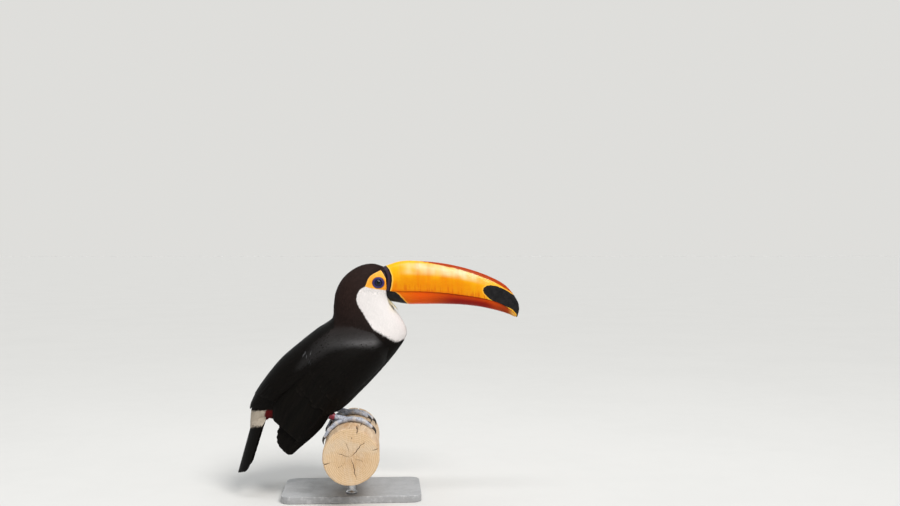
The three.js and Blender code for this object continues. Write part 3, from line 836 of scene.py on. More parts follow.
@finish("flight plumage", Sheen_Weight=0.005, Sheen_Roughness=0.35, Sheen_Tint=(0.55, 0.66, 0.85))
def glossy_plumage(w, look):
    """Flight feathers, with closer barbs and a little more gloss."""
    return {**plumage(w, 0.5, (0.018, 0.015, 0.013), 60.0, 0.25),
            "Specular IOR Level": look.black_gloss}


@finish("white plumage", Specular_IOR_Level=0.12, Sheen_Weight=0.04, Sheen_Roughness=0.5)
def white_plumage(w, _):
    """White feathers, with loose barbs and hardly any relief."""
    return plumage(w, 0.8, (0.93, 0.9, 0.86), 14.0, 0.0, 0.012, 0.1)


@finish("bare skin", Specular_IOR_Level=0.3)
def bare_skin(w, look):
    """Skin: black or white under the coat, orange on the face with fine folds and pits, and a blue
    ring round each eye with its own close folds and a painted shade at its foot."""
    patch, eye = w.mark("patch_mm"), w.mark("eye_mm")
    orange, specks = w.mottled(look.face_orange, (0.78, 0.2, 0.012), 260.0, 0.55)
    blue, _ = w.mottled(look.eye_blue, (0.012, 0.01, 0.05), 520.0, 0.8)
    soft = w.add(eye, w.wander(500.0, 0.35))
    ring, opening = EYE["ring"], EYE["opening"]
    face = w.mix(w.range(patch, 0.2, 2.4, 0.5, 0.0), orange, (0.95, 0.52, 0.09))
    # Painted shade: a dark brown rim just outside the blue ring, where it dips at its foot.
    face = w.mix(w.range(soft, ring - 0.1, ring + 1.1, 0.85, 0.0), face, (0.09, 0.03, 0.02))
    ringed = w.mix(w.range(soft, ring - 0.8, ring), blue, face)
    lid = w.range(eye, opening + 0.1, opening + 0.9, 1.0, 0.0)
    ringed = w.mix(lid, ringed, (0.008, 0.006, 0.012))
    bare = w.range(w.add(patch, w.wander(700.0, 0.5)), -0.35, 0.35)
    folds = w.maths("SINE", w.add(w.mul(eye, 6.4), w.mul(w.noise(w.place(), 210.0), 9.0)))
    height = w.add(w.add(w.mul(folds, 0.35), w.mul(w.pebbles(1500.0), 0.9)), specks)
    return {"Base Color": w.mix(bare, w.mark("tint", "Color"), ringed),
            "Roughness": w.range(soft, 7.0, 10.0, 0.34, 0.5),
            "Normal": w.bump(height, 0.6, 0.18)}


@finish("bill horn", Coat_Weight=0.15, Coat_Roughness=0.16, Specular_IOR_Level=0.05)
def bill_horn(w, look):
    """Horn: a base tint that runs from yellow to red, growth bands across it and fine streaks along
    it, a black band at its base with a painted highlight in grey down its middle, black patches and
    a red ridge."""
    bands = w.noise(w.place((1, 0.12, 0.12)), 150.0, 3.0, 0.5)
    streaks = w.noise(w.place((0.1, 1, 1), (0, -0.12, 0)), 420.0, 4.0, 0.6)
    horn = w.mark("tint", "Color")
    horn = w.mix(w.range(bands, 0.42, 0.7, 0.0, 0.3), horn, (1.0, 0.5, 0.35), "MULTIPLY")
    horn = w.mix(w.range(streaks, 0.5, 0.75, 0.0, 0.2), horn, (1.0, 0.75, 0.6), "MULTIPLY")
    wander = w.wander(240.0, 0.9, 4.0)
    dark, _ = w.mottled(look.bill_black, (0.026, 0.024, 0.025), 180.0, 0.6)
    patch = w.add(w.mark("black_mm"), wander)
    halo = w.mix(w.range(patch, -2.6, -0.3, 0.0, 0.75), horn, (0.93, 0.5, 0.05))
    horn = w.mix(w.range(patch, -0.45, 0.45), halo, dark)
    band = w.add(w.mark("band_mm"), w.mul(wander, 0.35))
    # Painted highlight: the black band's middle is painted grey for the gloss on its raised rim.
    middle = w.mul(w.range(band, 1.6, 2.8), w.range(band, 6.0, 7.4, 1.0, 0.0))
    grey = w.mix(middle, (0.005, 0.004, 0.005), (0.036, 0.022, 0.034))
    edge = w.mix(w.range(band, -2.6, -0.2, 0.0, 0.8), horn, (0.97, 0.62, 0.14))
    return {"Base Color": w.mix(w.range(band, -0.4, 0.4), edge, grey),
            "Roughness": w.range(streaks, 0.3, 0.7, 0.27, 0.38),
            "Normal": w.bump(w.add(bands, w.mul(streaks, 0.35)), 0.35, 0.35)}


@finish("eye glass", Roughness=0.06, Specular_IOR_Level=0.28)
def eye_glass(w, _):
    """An eye: black pupil, indigo iris with pale fibres from the pupil outwards, black rim."""
    far, angle, _ = w.node("SeparateXYZ", w.mark("iris", "Vector")).node.outputs
    fibres = w.noise(w.node("CombineXYZ", w.mul(angle, 9.0), far), 3.0, 3.0)
    iris = w.mix(w.range(fibres, 0.45, 0.66), (0.004, 0.004, 0.02), (0.03, 0.035, 0.15))
    iris = w.mix(w.range(far, 2.6, 3.0), (0.001, 0.001, 0.0015), iris)
    return {"Base Color": w.mix(w.range(far, 4.3, 4.9), iris, (0.004, 0.004, 0.012))}


@finish("foot skin", Roughness=0.48, Specular_IOR_Level=0.45)
def foot_skin(w, look):
    """Scaled skin: blue-grey scales, pale at their joints, with painted shade in the creases
    between them.
    """
    skin, specks = w.mottled(look.foot_blue, (0.12, 0.15, 0.235), 300.0, 0.75)
    skin = w.mix(w.mul(w.mark("joint"), 0.6), skin, (0.62, 0.56, 0.5))
    # Painted shade: the creases between the scales are darkened.
    crease_shade = w.mul(w.range(w.mark("scale"), 0.02, 0.2, 1.0, 0.0), 0.8)
    return {"Base Color": w.mix(crease_shade, skin, (0.05, 0.052, 0.06)),
            "Normal": w.bump(w.add(w.mul(w.pebbles(1100.0), 0.8), specks), 0.5, 0.12)}


@finish("claw horn", Roughness=0.35, Specular_IOR_Level=0.5)
def claw_horn(w, _):
    """Claws: dark horn, paler towards the root, with fine streaks along."""
    horn, specks = w.mottled((0.02, 0.018, 0.018), (0.05, 0.042, 0.036), 380.0, 0.9)
    root = w.range(w.mark("along"), 0.0, 0.35, 0.5, 0.0)
    return {"Base Color": w.mix(root, horn, (0.16, 0.14, 0.13)),
            "Normal": w.bump(specks, 0.3, 0.08)}


@finish("ring plastic", Specular_IOR_Level=0.5)
def ring_plastic(w, _):
    """The leg ring: crimson plastic with fine scuffs along its edges."""
    red, specks = w.mottled((0.24, 0.012, 0.032), (0.12, 0.006, 0.018), 420.0, 0.7)
    worn = w.mul(w.mark("edge"), w.range(w.noise(w.place(), 900.0), 0.4, 0.65, 0.0, 0.6))
    return {"Base Color": w.mix(worn, red, (0.4, 0.08, 0.11)),
            "Roughness": w.range(specks, 0.35, 0.65, 0.36, 0.52),
            "Normal": w.bump(specks, 0.25, 0.05)}


@finish("weathered wood", Roughness=0.8, Specular_IOR_Level=0.25)
def weathered_wood(w, look):
    """A debarked log's side: tan wood with drawn-out grain, grey weathering, and cracks and small
    checks darkened by painted shade."""
    made = w.group(wood_grain(), Place=w.place(), Fineness=150.0, Stretch=(1, 0.07, 1))
    wood = w.mix(made["Grain"], look.wood_dark, look.wood_light)
    wood = w.mix(w.mul(made["Fibres"], 0.3), wood, (0.30, 0.17, 0.085))
    weather = w.noise(w.place((1, 0.35, 1)), 24.0, 4.0, 0.6)
    wood = w.mix(w.range(weather, 0.45, 0.7, 0.0, 0.55), wood, (0.56, 0.45, 0.34))
    warm = w.noise(w.place((1, 0.3, 1), shift=(3, 1, 2)), 34.0, 4.0, 0.6)
    wood = w.mix(w.range(warm, 0.5, 0.75, 0.0, 0.6), wood, (0.52, 0.27, 0.11))
    # Painted shade: fine checks darkened as thin dark lines.
    checks = w.range(w.noise(w.place((1, 0.05, 1), shift=(5, 0, 0)), 520.0, 2.0), 0.66, 0.72)
    checks = w.mul(w.mul(checks, w.range(w.noise(w.place(), 60.0), 0.45, 0.6)), 0.8)
    wood = w.mix(checks, wood, (0.1, 0.05, 0.025))
    # Painted shade inside the cracks.
    crack = w.range(w.mark("crack"), 0.12, 0.75)
    return {"Base Color": w.mix(crack, wood, (0.035, 0.02, 0.012)),
            "Normal": w.bump(w.maths("SUBTRACT", made["Height"], checks), 0.7, 0.5)}


@finish("cut wood", Roughness=0.78, Specular_IOR_Level=0.25)
def cut_wood(w, _):
    """The log's sawn ends: growth rings about a heart a little off the middle, saw marks, and
    drying cracks from the heart outwards."""
    x, _, z = w.node("SeparateXYZ", w.place(shift=(-0.004, 0, -0.0725))).node.outputs
    far = w.maths("SQRT", w.add(w.mul(x, x), w.mul(z, z)))
    far = w.add(far, w.wander(30.0, 0.0016, 1.0))
    rings = w.maths("SINE", w.mul(far, TURN / 0.0026))
    wood = w.mix(w.range(rings, -0.4, 1.0), (0.68, 0.48, 0.29), (0.56, 0.37, 0.2))
    wood = w.mix(w.range(far, 0.004, 0.034, 0.45, 0.0), wood, (0.46, 0.26, 0.12))
    weather = w.range(w.noise(w.place(), 38.0, 4.0, 0.6), 0.42, 0.7, 0.0, 0.6)
    wood = w.mix(weather, wood, (0.62, 0.5, 0.37))
    saw = w.noise(w.place((1, 1, 0.05), (0, 0.5, 0)), 900.0, 2.0)
    wood = w.mix(w.range(saw, 0.4, 0.7, 0.0, 0.4), wood, (0.76, 0.6, 0.42))
    # Painted shade inside the splits.
    crack = w.range(w.mark("crack"), 0.2, 0.8)
    return {"Base Color": w.mix(crack, wood, (0.035, 0.02, 0.012)),
            "Normal": w.bump(w.add(saw, w.mul(rings, 0.25)), 0.5, 0.25)}


@finish("painted steel", Specular_IOR_Level=0.45)
def painted_steel(w, look):
    """The base: satin grey paint with a fine orange-peel surface and a little rubbed edge."""
    grey, specks = w.mottled(look.stand_grey, [c * 0.86 for c in look.stand_grey], 60.0, 0.8)
    rubbed = w.mul(w.mark("edge"), w.range(w.noise(w.place(), 160.0), 0.45, 0.7, 0.0, 0.5))
    return {"Base Color": w.mix(rubbed, grey, (0.72, 0.72, 0.73)),
            "Roughness": w.range(specks, 0.3, 0.7, 0.36, 0.5),
            "Normal": w.bump(w.noise(w.place(), 1400.0, 1.0), 0.2, 0.06)}


@finish("brushed steel", Metallic=1.0)
def brushed_steel(w, _):
    """The rods: steel turned on a lathe, with fine marks round it."""
    marks = w.noise(w.place((0.02, 0.02, 1)), 2400.0, 2.0)
    return {"Base Color": w.mix(marks, (0.5, 0.5, 0.51), (0.68, 0.69, 0.7)),
            "Roughness": w.range(marks, 0.3, 0.7, 0.24, 0.4),
            "Normal": w.bump(marks, 0.15, 0.02)}


@finish("plain floor", Roughness=1.0, Specular_IOR_Level=0.0)
def plain_floor(w, look):
    """The floor: matt and hardly mottled."""
    shaded = [c * 0.97 for c in look.floor_colour]
    return {"Base Color": w.mottled(look.floor_colour, shaded, 3.0, 0.6)[0]}


# ---- skin and coat

# Round the eye, from its axis outwards: the distance, and how far the skin stands out there. It
# drops inside the ball, comes out as the lid's rim, swells as the ring and dips at its foot.
LID_AT = [0, 4.6, 4.95, 5.25, 5.5, 5.9, 6.4, 7.2, 8.1, 8.8, 9.3, 10.2, 11.5, 13.5]
LID_OUT = [-5, -4.4, -1.4, 0.95, 1.5, 1.62, 1.3, 1.45, 1.25, 0.7, 0.3, 0.5, 0.3, 0]


def markings(points, colours):
    """The coat's colour at places on the body: white inside the bib's outline and a whitish cream
    on the rump down to the tail's root, a red wedge beneath it, and black elsewhere, browner on the
    head. The cream and the red are partly painted shade, darker than the feathers' own colours."""
    x, z = points[..., 0], points[..., 2]
    ragged = 0.35 * ripple(points, 4, 11)
    brown = ease(z, 226, 306)[..., None]
    colour = between(colours["black"], colours["brown"], brown)
    low = ease(-(z - 0.1 * (x + 140) - 133 + ragged), -0.5, 0.5)
    lean = x - 0.25 * (z - 131) + ragged
    bib = ease(inside_by(BIB, points) + ragged, -0.3, 0.3)
    for name, share in (
        ("red", low * ease(-lean, 119, 120)),
        ("cream", low * ease(-lean, 131, 132)),
        ("white", bib),
        ("throat", 0.6 * bib * ease(x, 52, 66) * ease(z, 276, 296)),
    ):
        colour = between(colour, colours[name], share[..., None])
    return colour


def palette(look):
    """The plumage's tints by name, all 0 where no settings are given."""
    names = ("black", "brown", "white", "throat", "cream", "red")
    return {n: np.array(getattr(look, f"{n}_tint", (0, 0, 0))[:3]) for n in names}


def coat_depth(look, station):
    """How deep the skin lies under the coat in mm, half as deep on the head."""
    return look.coat_depth / MM * (1 - 0.5 * ease(station, 8, 11.5))


def make_skin(look):
    """The body's oval from tail coverts to bill, sunk by the coat's depth where feathers lie, with
    lids and rings about the eyes and soft folds on the bare face; and both thighs."""
    station = spaced(0, BILL_BASE, 240, [(EYE_STATION, 0.8, 6)])[:, None]
    turn = spaced(0, 1, 252, [(EYE_TURN, 0.07, 3.2), (1 - EYE_TURN, 0.07, 3.2)])[None, :-1]
    over = body_point(station, turn)
    patch, eye = inside_by(FACE_PATCH, over), eye_distance(over)
    points = body_point(station, turn, -coat_depth(look, station) * (1 - ease(patch, -2.5, 0.3)))
    side = np.abs(points[..., 1])
    side = between(side, EYE_SIDE, 1 - ease(eye, 6.5, 12)) + np.interp(eye, LID_AT, LID_OUT)
    folds = 0.16 * ripple(points, 4.2, 3) + 0.09 * ripple(points, 1.9, 4)
    side = side + folds * ease(patch, -0.5, 2) * ease(eye, 9, 10.5)
    points[..., 1] = np.where(eye < 14, np.sign(points[..., 1]) * side, points[..., 1])
    tint = opaque(markings(over, palette(look)))
    body = loft(points, tint=tint, patch_mm=patch, eye_mm=eye)
    t = np.linspace(0, 1, 40)[:, None]
    rings = thigh_point(t, shares(48), -look.coat_depth / MM * (1 - t))
    tint = np.broadcast_to([*palette(look)["black"], 1], rings.shape[:2] + (4,))
    away = np.full(rings.shape[:2], UNMARKED)
    limb = loft(rings, tint=tint, patch_mm=-away, eye_mm=away)
    return joined([body, limb, mirrored(limb)])


# Feather length by station, where the coat begins, and the outline of the wing less a margin.
COAT_AT = [-1, 0, 2, 4, 6, 8, 9, 10, 11.5, 13, 14]
COAT_LONG = [15, 15, 14, 13, 11.5, 9.5, 8, 6.6, 5.4, 4.4, 3.4]
COAT_FROM = 13.97
_upper, _lower = np.array(WING)[:7, 0:2], np.array(WING)[:7, 2:4]
WING_COVER = np.vstack([between(_upper, _lower, 0.14), between(_upper, _lower, 0.9)[::-1]])


def coat_roots(rng, first, last, long_at, share=0.26, across=0.21):
    """Staggered rows of roots on the body from one station to another. A row's step is a share of
    the feathers' length, and its roots stand evenly by the distance round the body."""
    rows, station = [], first
    turns = np.linspace(0, 1, 361)
    while station > last:
        ring = body_point(station, turns)
        arc = np.concatenate([[0], np.cumsum(norm(np.diff(ring, axis=0)))])
        length = float(long_at(station))
        count = max(int(arc[-1] / (across * length)), 8)
        places = (np.arange(count) + rng.random() + rng.uniform(-0.3, 0.3, count)) % count / count
        turn = np.interp(places * arc[-1], arc, turns)
        reach = norm(body_point(station - 0.05, 0.25) - body_point(station + 0.05, 0.25))
        step = share * length / (reach * 10)
        jitter = rng.uniform(-0.35, 0.35, count) * step
        rows.append(np.stack([np.full(count, station) + jitter, turn % 1], -1))
        station -= step
    return np.vstack(rows)


def under_fold(points, roots):
    """Whether a place on the body is out of sight under a wing or a shoulder lobe."""
    wing = (inside_by(WING_COVER, points) > 6) & (np.abs(points[:, 1]) > 20)
    turn = np.minimum(roots[:, 1], 1 - roots[:, 1])
    along = (LOBE["from"] - roots[:, 0]) / (LOBE["from"] - LOBE["to"])
    edge = lobe_outer(np.clip(along, 0, 1) * 6)
    lobe = (turn > 0.06) & (turn < edge - 0.03) & (along > 0.12) & (along < 0.93)
    return wing | lobe


def shown_at(roots, length):
    """The place on the body where each feather's tip shows."""
    ahead = body_point(roots[:, 0] + 0.01, roots[:, 1]) - body_point(roots[:, 0], roots[:, 1])
    slope = np.maximum(norm(ahead) / 0.01, 4)
    return body_point(roots[:, 0] - 0.85 * length / slope, roots[:, 1])


def coat_vanes(look, rng, roots, length, shape=0.4, shine=0.1, tip=0.1):
    """Body feathers on the body's oval, in the markings' colours."""
    light = np.exp(rng.normal(0, shine, (len(roots), 1)))
    tints = np.ones((len(roots), 4))
    low = -coat_depth(look, roots[:, 0]) - 0.15
    made = lay_vanes(body_point, roots, length * rng.uniform(0.9, 1.1, len(roots)), length * shape,
                     (low, tip), rng, tints, thick=0.8 * tip)
    # A vane that lies across the edge of a marking is parted by it.
    light = np.repeat(light, len(made["points"]) // len(roots), 0)
    colour = markings(made["points"], palette(look)) * light
    made["marks"]["tint"][:, :3] = np.clip(colour, 0, 1)
    return made


def kind_of(roots, length):
    """Which coat a feather belongs to, by where its tip shows: 0 black, 1 bib, 2 rump."""
    seen = shown_at(roots, length)
    flat = {name: np.full(3, float(name not in ("black", "brown"))) for name in palette(None)}
    return np.where(markings(seen, flat)[:, 0] > 0.5, np.where(seen[:, 0] > -50, 1, 2), 0)


def body_coat(look, rng):
    """All the roots of the body's coat with their lengths, less those out of sight or on the bare
    face, and a closer set of short feathers round the face and along the bib's edge."""
    long_at = lambda s: np.interp(s, COAT_AT, COAT_LONG)
    roots = coat_roots(rng, COAT_FROM, -0.2, long_at, 0.26 / look.density, 0.21 / look.density)
    station, turn = roots.T
    places = body_point(station, turn)
    # Feathers are shorter where the stations lie closer than they do on the bird's side.
    slope = lambda at, here: norm(body_point(station + 0.05, at) - here) / 0.05
    crowded = slope(turn, places) / slope(0.25, body_point(station, 0.25))
    length = long_at(station) * np.clip(crowded, 0.55, 1.5) ** 0.7
    keep = (inside_by(FACE_PATCH, places) < -4.5) & ~under_fold(places, roots)
    coat = (roots[keep], length[keep])
    near = coat_roots(rng, COAT_FROM, 6.6, lambda s: 3.6, 0.27 / look.density, 0.26 / look.density)
    places = body_point(*near.T)
    x, _, z = places.T
    patch = inside_by(FACE_PATCH, places)
    face = (patch < -0.15) & (patch > -6) & (near[:, 0] > 10.4)
    face = face & ((x < 44.5) | (z < 325) | (patch < -3.4))
    hem = (np.abs(inside_by(BIB, places) + 1.5) < 4.5) & (patch < -5) & (x < 90)
    length = np.where(face, 2.3 + 0.32 * -patch, 4.4)
    return coat, (near[face | hem], length[face | hem])


# ---- wings and tail


def dark_tints(look, count, rng):
    """Tints of black feathers by chance."""
    return shade(palette(look)["black"], count, rng, 0.1, 0.03)


def wing_core(rows, thin, last):
    """The dark body of a folded wing under its feathers: the wing's own shell made thinner, and
    ended a little before the tips."""
    at = fold_surface([(*r[:7], max(r[7] - thin, 0.6)) for r in rows], WING_DIP)
    (thick,) = columns(rows, 7)
    along, angle = np.linspace(0.02, last, 60)[:, None], circle(40)
    down = 0.5 - 0.5 * np.cos(angle)
    rings = at(along, 0.03 + 0.94 * down)
    half = np.maximum(thick(along) - thin, 0.6) / 2 * np.sqrt(np.clip(4 * down * (1 - down), 0, 1))
    rings[..., 1] += np.where(np.sin(angle) < 0, 2 * half, 0)
    return rings


def cored(look, rings):
    """A dark core as a shell that joins with vanes: its own marks, and one patch of the map."""
    rows, count = rings.shape[:2]
    place = np.stack(np.meshgrid(np.arange(count) / count, np.arange(rows) / rows), -1)
    tint = np.broadcast_to([*palette(look)["black"] * 0.6, 1], (rows, count, 4))
    made = loft(rings, tint=tint, root=place * 0.003)
    points = len(made["points"])
    vane = np.tile([0.5, 0.5, 0.3], (points, 1))
    made["marks"] = {"rim": np.zeros(points), "vane": vane, **made["marks"]}
    return made


def staggered(rng, first, last, step, counts, span):
    """Rows of roots over a surface from one row to another, every second one shifted by half a
    space: counts gives how many a row has at its two ends, and span is the rows' own width."""
    rows = []
    for k, v in enumerate(np.arange(first, last, step)):
        count = round(between(*counts, (v - first) / (last - first)))
        across = span[0] + (span[1] - span[0]) * (np.arange(count) + 0.5 * (k % 2)) / count
        chance = rng.uniform(-0.35, 0.35, (2, count))
        shift = chance[1] * (span[1] - span[0]) / count
        rows.append(np.stack([v + chance[0] * step, across + shift], -1))
    return np.vstack(rows)


def quill_rows(surface, look, rng, rows, uneven_from, uneven, sheet, next_sheet):
    """Rows of flight feathers. Each row has its count, then pairs of values that run from its
    first feather to its last: the root's place along and across, the tip's, width, lift at the
    root and at the tip; and its thickness, how many points it has along, its tilt and its bow.
    From one row on, tips stand uneven by chance."""
    parts = []
    for k, (count, *pairs, thick, points, tilt, bow) in enumerate(rows):
        far = np.arange(count) / (count - 1)
        at, down, to, to_down, width, low, high = (between(*pair, far) for pair in pairs)
        to = to + rng.uniform(-uneven, uneven, count) * (k >= uneven_from)
        roots, tips = np.stack([at, down], -1), np.stack([to, to_down], -1)
        place = (0, sheet[0] + next_sheet * k, 1, sheet[1])
        parts.append(lay_quills(
            surface, roots, tips, width, (low, high), rng, dark_tints(look, count, rng), points,
            bow=bow, tilt=tilt, thick=thick, sheet=place))
    return parts


# Count; root along and across, tip along and across, width, lift at root and tip as pairs;
# thickness, points along, tilt and bow.
WING_ROWS = (
    (12, (2.5, 3.4), (0.1, 0.84), (7, 6.6), (0.03, 0.9), (16, 13), (-2, -3), (-0.2, -1.9), 0.45,
     24, 0.05, 0.02),
    (5, (0.3, 1.5), (0.94, 0.87), (6.95, 6.3), (0.93, 0.86), (8, 9), (-2.6, -2), (-1.7, -1.2),
     0.4, 30, 0, 0),
    (22, (2.3, 2.4), (0.03, 0.93), (4.95, 4.1), (0.02, 0.95), (12, 11), (-1.3, -1.4),
     (-0.1, -0.3), 0.2, 16, 0.03, 0),
    (24, (1.6, 1.6), (0.02, 0.95), (4.1, 3.4), (0.02, 0.97), (10, 9), (-1, -1), (0.1, 0), 0.18,
     12, 0.025, 0),
)
LOBE_ROWS = (
    (9, (0.34, 0.4), (-0.12, 0.94), (1.03, 0.93), (-0.1, 0.99), (19, 15), (-1.2, -1.8),
     (1, -0.3), 0.4, 26, 0.02, 0.03),
    (11, (0.22, 0.28), (-0.12, 0.94), (0.82, 0.76), (-0.16, 1), (15, 13), (-0.8, -1.2),
     (1.2, 0.4), 0.3, 26, 0.02, 0.03),
)


def make_wing(look, rng):
    """A right wing: fine coverts over the front, then the median and great coverts, the
    secondaries with their tips along the rear edge, and the feathers of the lower edge. Every
    feather lies over the one below it."""
    parts = [cored(look, wing_core(WING, 4.2, 6.35))]
    parts += quill_rows(wing_point, look, rng, WING_ROWS, 2, 0.13, (0.76, 0.055), 0.06)
    small = staggered(rng, -0.3, 3.45, 0.09, (36, 28), (-0.08, 1.02))
    small = small[small[:, 0] < 3.2 - 0.6 * small[:, 1] + rng.uniform(-0.25, 0.25, len(small))]
    length = 8.5 + 2.2 * np.maximum(small[:, 0], 0)
    parts.append(lay_vanes(wing_point, small, length, length * 0.36, (-0.9, 0.55), rng,
                           dark_tints(look, len(small), rng), way=1, twist=0.06,
                           sheet=(0, 0, 1, 0.75)))
    return joined(parts)


def make_primaries(look, rng):
    """The flight feathers that show past the wing: long vanes in a stack from the lower edge up,
    each a step shorter than the one beneath it, with its tip further up the rear edge."""
    count = 9
    far = np.arange(count) / (count - 1)
    tips_along = [4.02, 3.9, 3.62, 3.2, 2.75, 2.25, 1.75, 1.3, 0.9]
    tips_across = [0.9, 0.5, 0.25, 0.16, 0.14, 0.13, 0.12, 0.12, 0.12]
    roots = np.stack([-0.9 + 0.1 * far, 0.95 - 0.77 * far], -1)
    lift = (-1.9 + 0.1 * far, -1.5 + 1.3 * far)
    return lay_quills(primary_point, roots, np.stack([tips_along, tips_across], -1),
                      13.5 - 1.5 * far, lift, rng, dark_tints(look, count, rng), rows=34,
                      lead=0.6, thick=0.4)


def make_shoulder(look, rng):
    """A right shoulder lobe: fine shoulder feathers that lengthen to the rear, and two rows of
    long tertials that end over the rump in round tips."""
    along, share = np.linspace(0, 1, 50)[:, None], shares(48)
    across = 0.04 + 0.9 * np.where(share < 0.5, 2 * share, 2 - 2 * share)
    top, base = lobe_point(along, across, -2.2), under_lobe(along, across, -1.5)
    parts = [cored(look, np.where((share < 0.5)[..., None], top, base))]
    parts += quill_rows(lobe_point, look, rng, LOBE_ROWS, 1, 0.02, (0.8, 0.075), 0.08)
    small = staggered(rng, -0.1, 0.6, 0.0185, (30, 46), (-0.3, 1.12))
    length = 11 + 7 * ease(small[:, 0], 0, 0.5)
    parts.append(lay_vanes(lobe_point, small, length, length * 0.34, (-1.2, 0.7), rng,
                           dark_tints(look, len(small), rng), way=1, twist=0.07,
                           sheet=(0, 0, 1, 0.78)))
    return joined(parts)


def make_mantle(look, rng):
    """The right shoulder's fine feathers, which run from the neck over the wing's upper edge and
    the lobe's front, lightened a little all over as a painted sheen and more along a ridge by bell
    curves as a painted highlight, and a few loose ones where lobe and wing meet, tinted grey as a
    painted sheen."""
    corners = np.array(MANTLE) @ LIE.T
    low, high = corners.min(0), corners.max(0)
    across = round((high[1] - low[1]) / 2.1 * look.density)
    rows = staggered(rng, low[0], high[0], 2.4 / look.density, (across, across), (low[1], high[1]))
    deep = inside_by(MANTLE, rows @ LIE)
    roots, rise = rows[deep > 0], ease(deep[deep > 0], 0, 11)
    length = np.interp((roots @ LIE)[:, 0], [-90, 40], [13, 9])
    fine = lay_vanes(drape_point, roots, length, length * 0.34, (1.8 * rise - 3, 1.4 * rise - 0.7),
                     rng, shade((1, 1, 1), len(roots), rng, 0.1) * 0.9, way=1, twist=0.07,
                     sheet=(0, 0, 1, 0.96))
    x, _, z = fine["points"].T
    bell = lambda far, reach: np.exp(-((far / reach) ** 2))
    # Painted highlight: the tints are lightened along the shoulder's ridge, and a little over the
    # whole mantle as a painted sheen, fading to black at its outline.
    ridge = 0.55 * bell(z - 238 - 0.12 * x, 9)
    ridge = ridge + 1.2 * ease(x, -18, 12) * bell(z - 235.5 - 0.06 * x, 4.5)
    ridge = ridge * ease(x, -60, 0) * ease(-x, -48, -28)
    ridge = (ridge + 0.3) * ease(inside_by(MANTLE, fine["points"]), -1, 16)
    colour = palette(look)
    brown = ease(z, 226, 306)[:, None] * (colour["brown"] - colour["black"])
    fine["marks"]["tint"][:, :3] *= colour["black"] + brown + ridge[:, None] * [0.072, 0.07, 0.071]
    # Painted sheen: the loose feathers are grey, not black, for the light caught on their lifted
    # edges.
    count = 8
    places = np.stack([rng.uniform(-72, -60, count), rng.uniform(211, 228, count)], -1)
    loose = lay_vanes(drape_point, places @ LIE.T, rng.uniform(6, 10, count), 1.0, (0.9, 2.1), rng,
                      shade((0.06, 0.06, 0.062), count, rng, 0.5), rows=6, way=1, twist=0.3,
                      lean=0.75, sheet=(0, 0.97, 1, 0.02))
    return joined([fine, loose])


def pale_root(look, made):
    """Colours tail feathers or coverts pale above a slanting line across the tail."""
    x, _, z = made["points"].T
    pale = ease(z - 0.22 * (x + 145) + 0.4 * ripple(made["points"], 3, 12), 107.2, 108.4)[:, None]
    black, cream, tint = palette(look)["black"], palette(look)["cream"], made["marks"]["tint"]
    tint[:, :3] = between(black, cream, pale) * (tint[:, :1] / tint[:, :1].mean())
    return made


def make_tail(look, rng):
    """Ten tail feathers, the middle pair on top and each outer one under its neighbour, pale
    under the coverts."""
    place = np.arange(-4.5, 5)
    place = place[np.argsort(-np.abs(place))]
    out, across = np.abs(place), place / 4.5 * 0.78
    roots = np.stack([0.02 + 0.001 * place, across * 0.9], -1)
    tips = np.stack([1.0 - 0.004 * out, across * 0.98], -1)
    made = lay_quills(tail_point, roots, tips, 15.5, (0.9 - 0.4 * out, 1.5 - 0.5 * out), rng,
                      dark_tints(look, 10, rng), rows=60, lead=0.5)
    return pale_root(look, made)


def make_tail_coverts(look, rng, above):
    """Feathers over the tail's root, in close rows: white above, red beneath."""
    colour = palette(look)["cream" if above else "red"]
    roots = staggered(rng, -0.2, 0.24 if above else 0.1, 0.025, (26, 26), (-1, 1))
    lift, long, camber = ((1.4, 2.6), 18, 0.1) if above else ((-1.6, -3), 16, -0.1)
    made = lay_vanes(tail_point, roots, long, long * 0.26, lift, rng,
                     shade(colour, len(roots), rng, 0.04), rows=10 if above else 5, way=1,
                     twist=0.03, camber=camber, fray=0.015)
    return pale_root(look, made) if above else made


# ---- bill

BILL_BLACK = [
    (202, 315), (203, 318.8), (208, 322.3), (216, 322.8), (224.4, 321.4), (237, 316), (245, 311),
    (250, 308), (255, 306), (266, 290), (264, 268), (256.6, 270), (254.8, 278), (250, 283.6),
    (245, 287), (232, 292), (222, 296), (214, 300.5), (208, 305.5), (203.6, 310.5),
]
KEEL_BLACK = [
    (40, 320), (55, 315), (66, 313), (72, 308.4), (77, 303), (84.6, 294.8), (88, 290), (40, 290)
]
# The front edge of the black band at the upper bill's base, grey in its middle by a painted
# highlight: x at heights z.
BAND_Z = [310, 316.3, 322.8, 331.6, 338.2, 348.1, 354.7, 362]
BAND_FRONT = [56.5, 58.4, 60, 61.1, 60.6, 56.7, 50.9, 48.8]


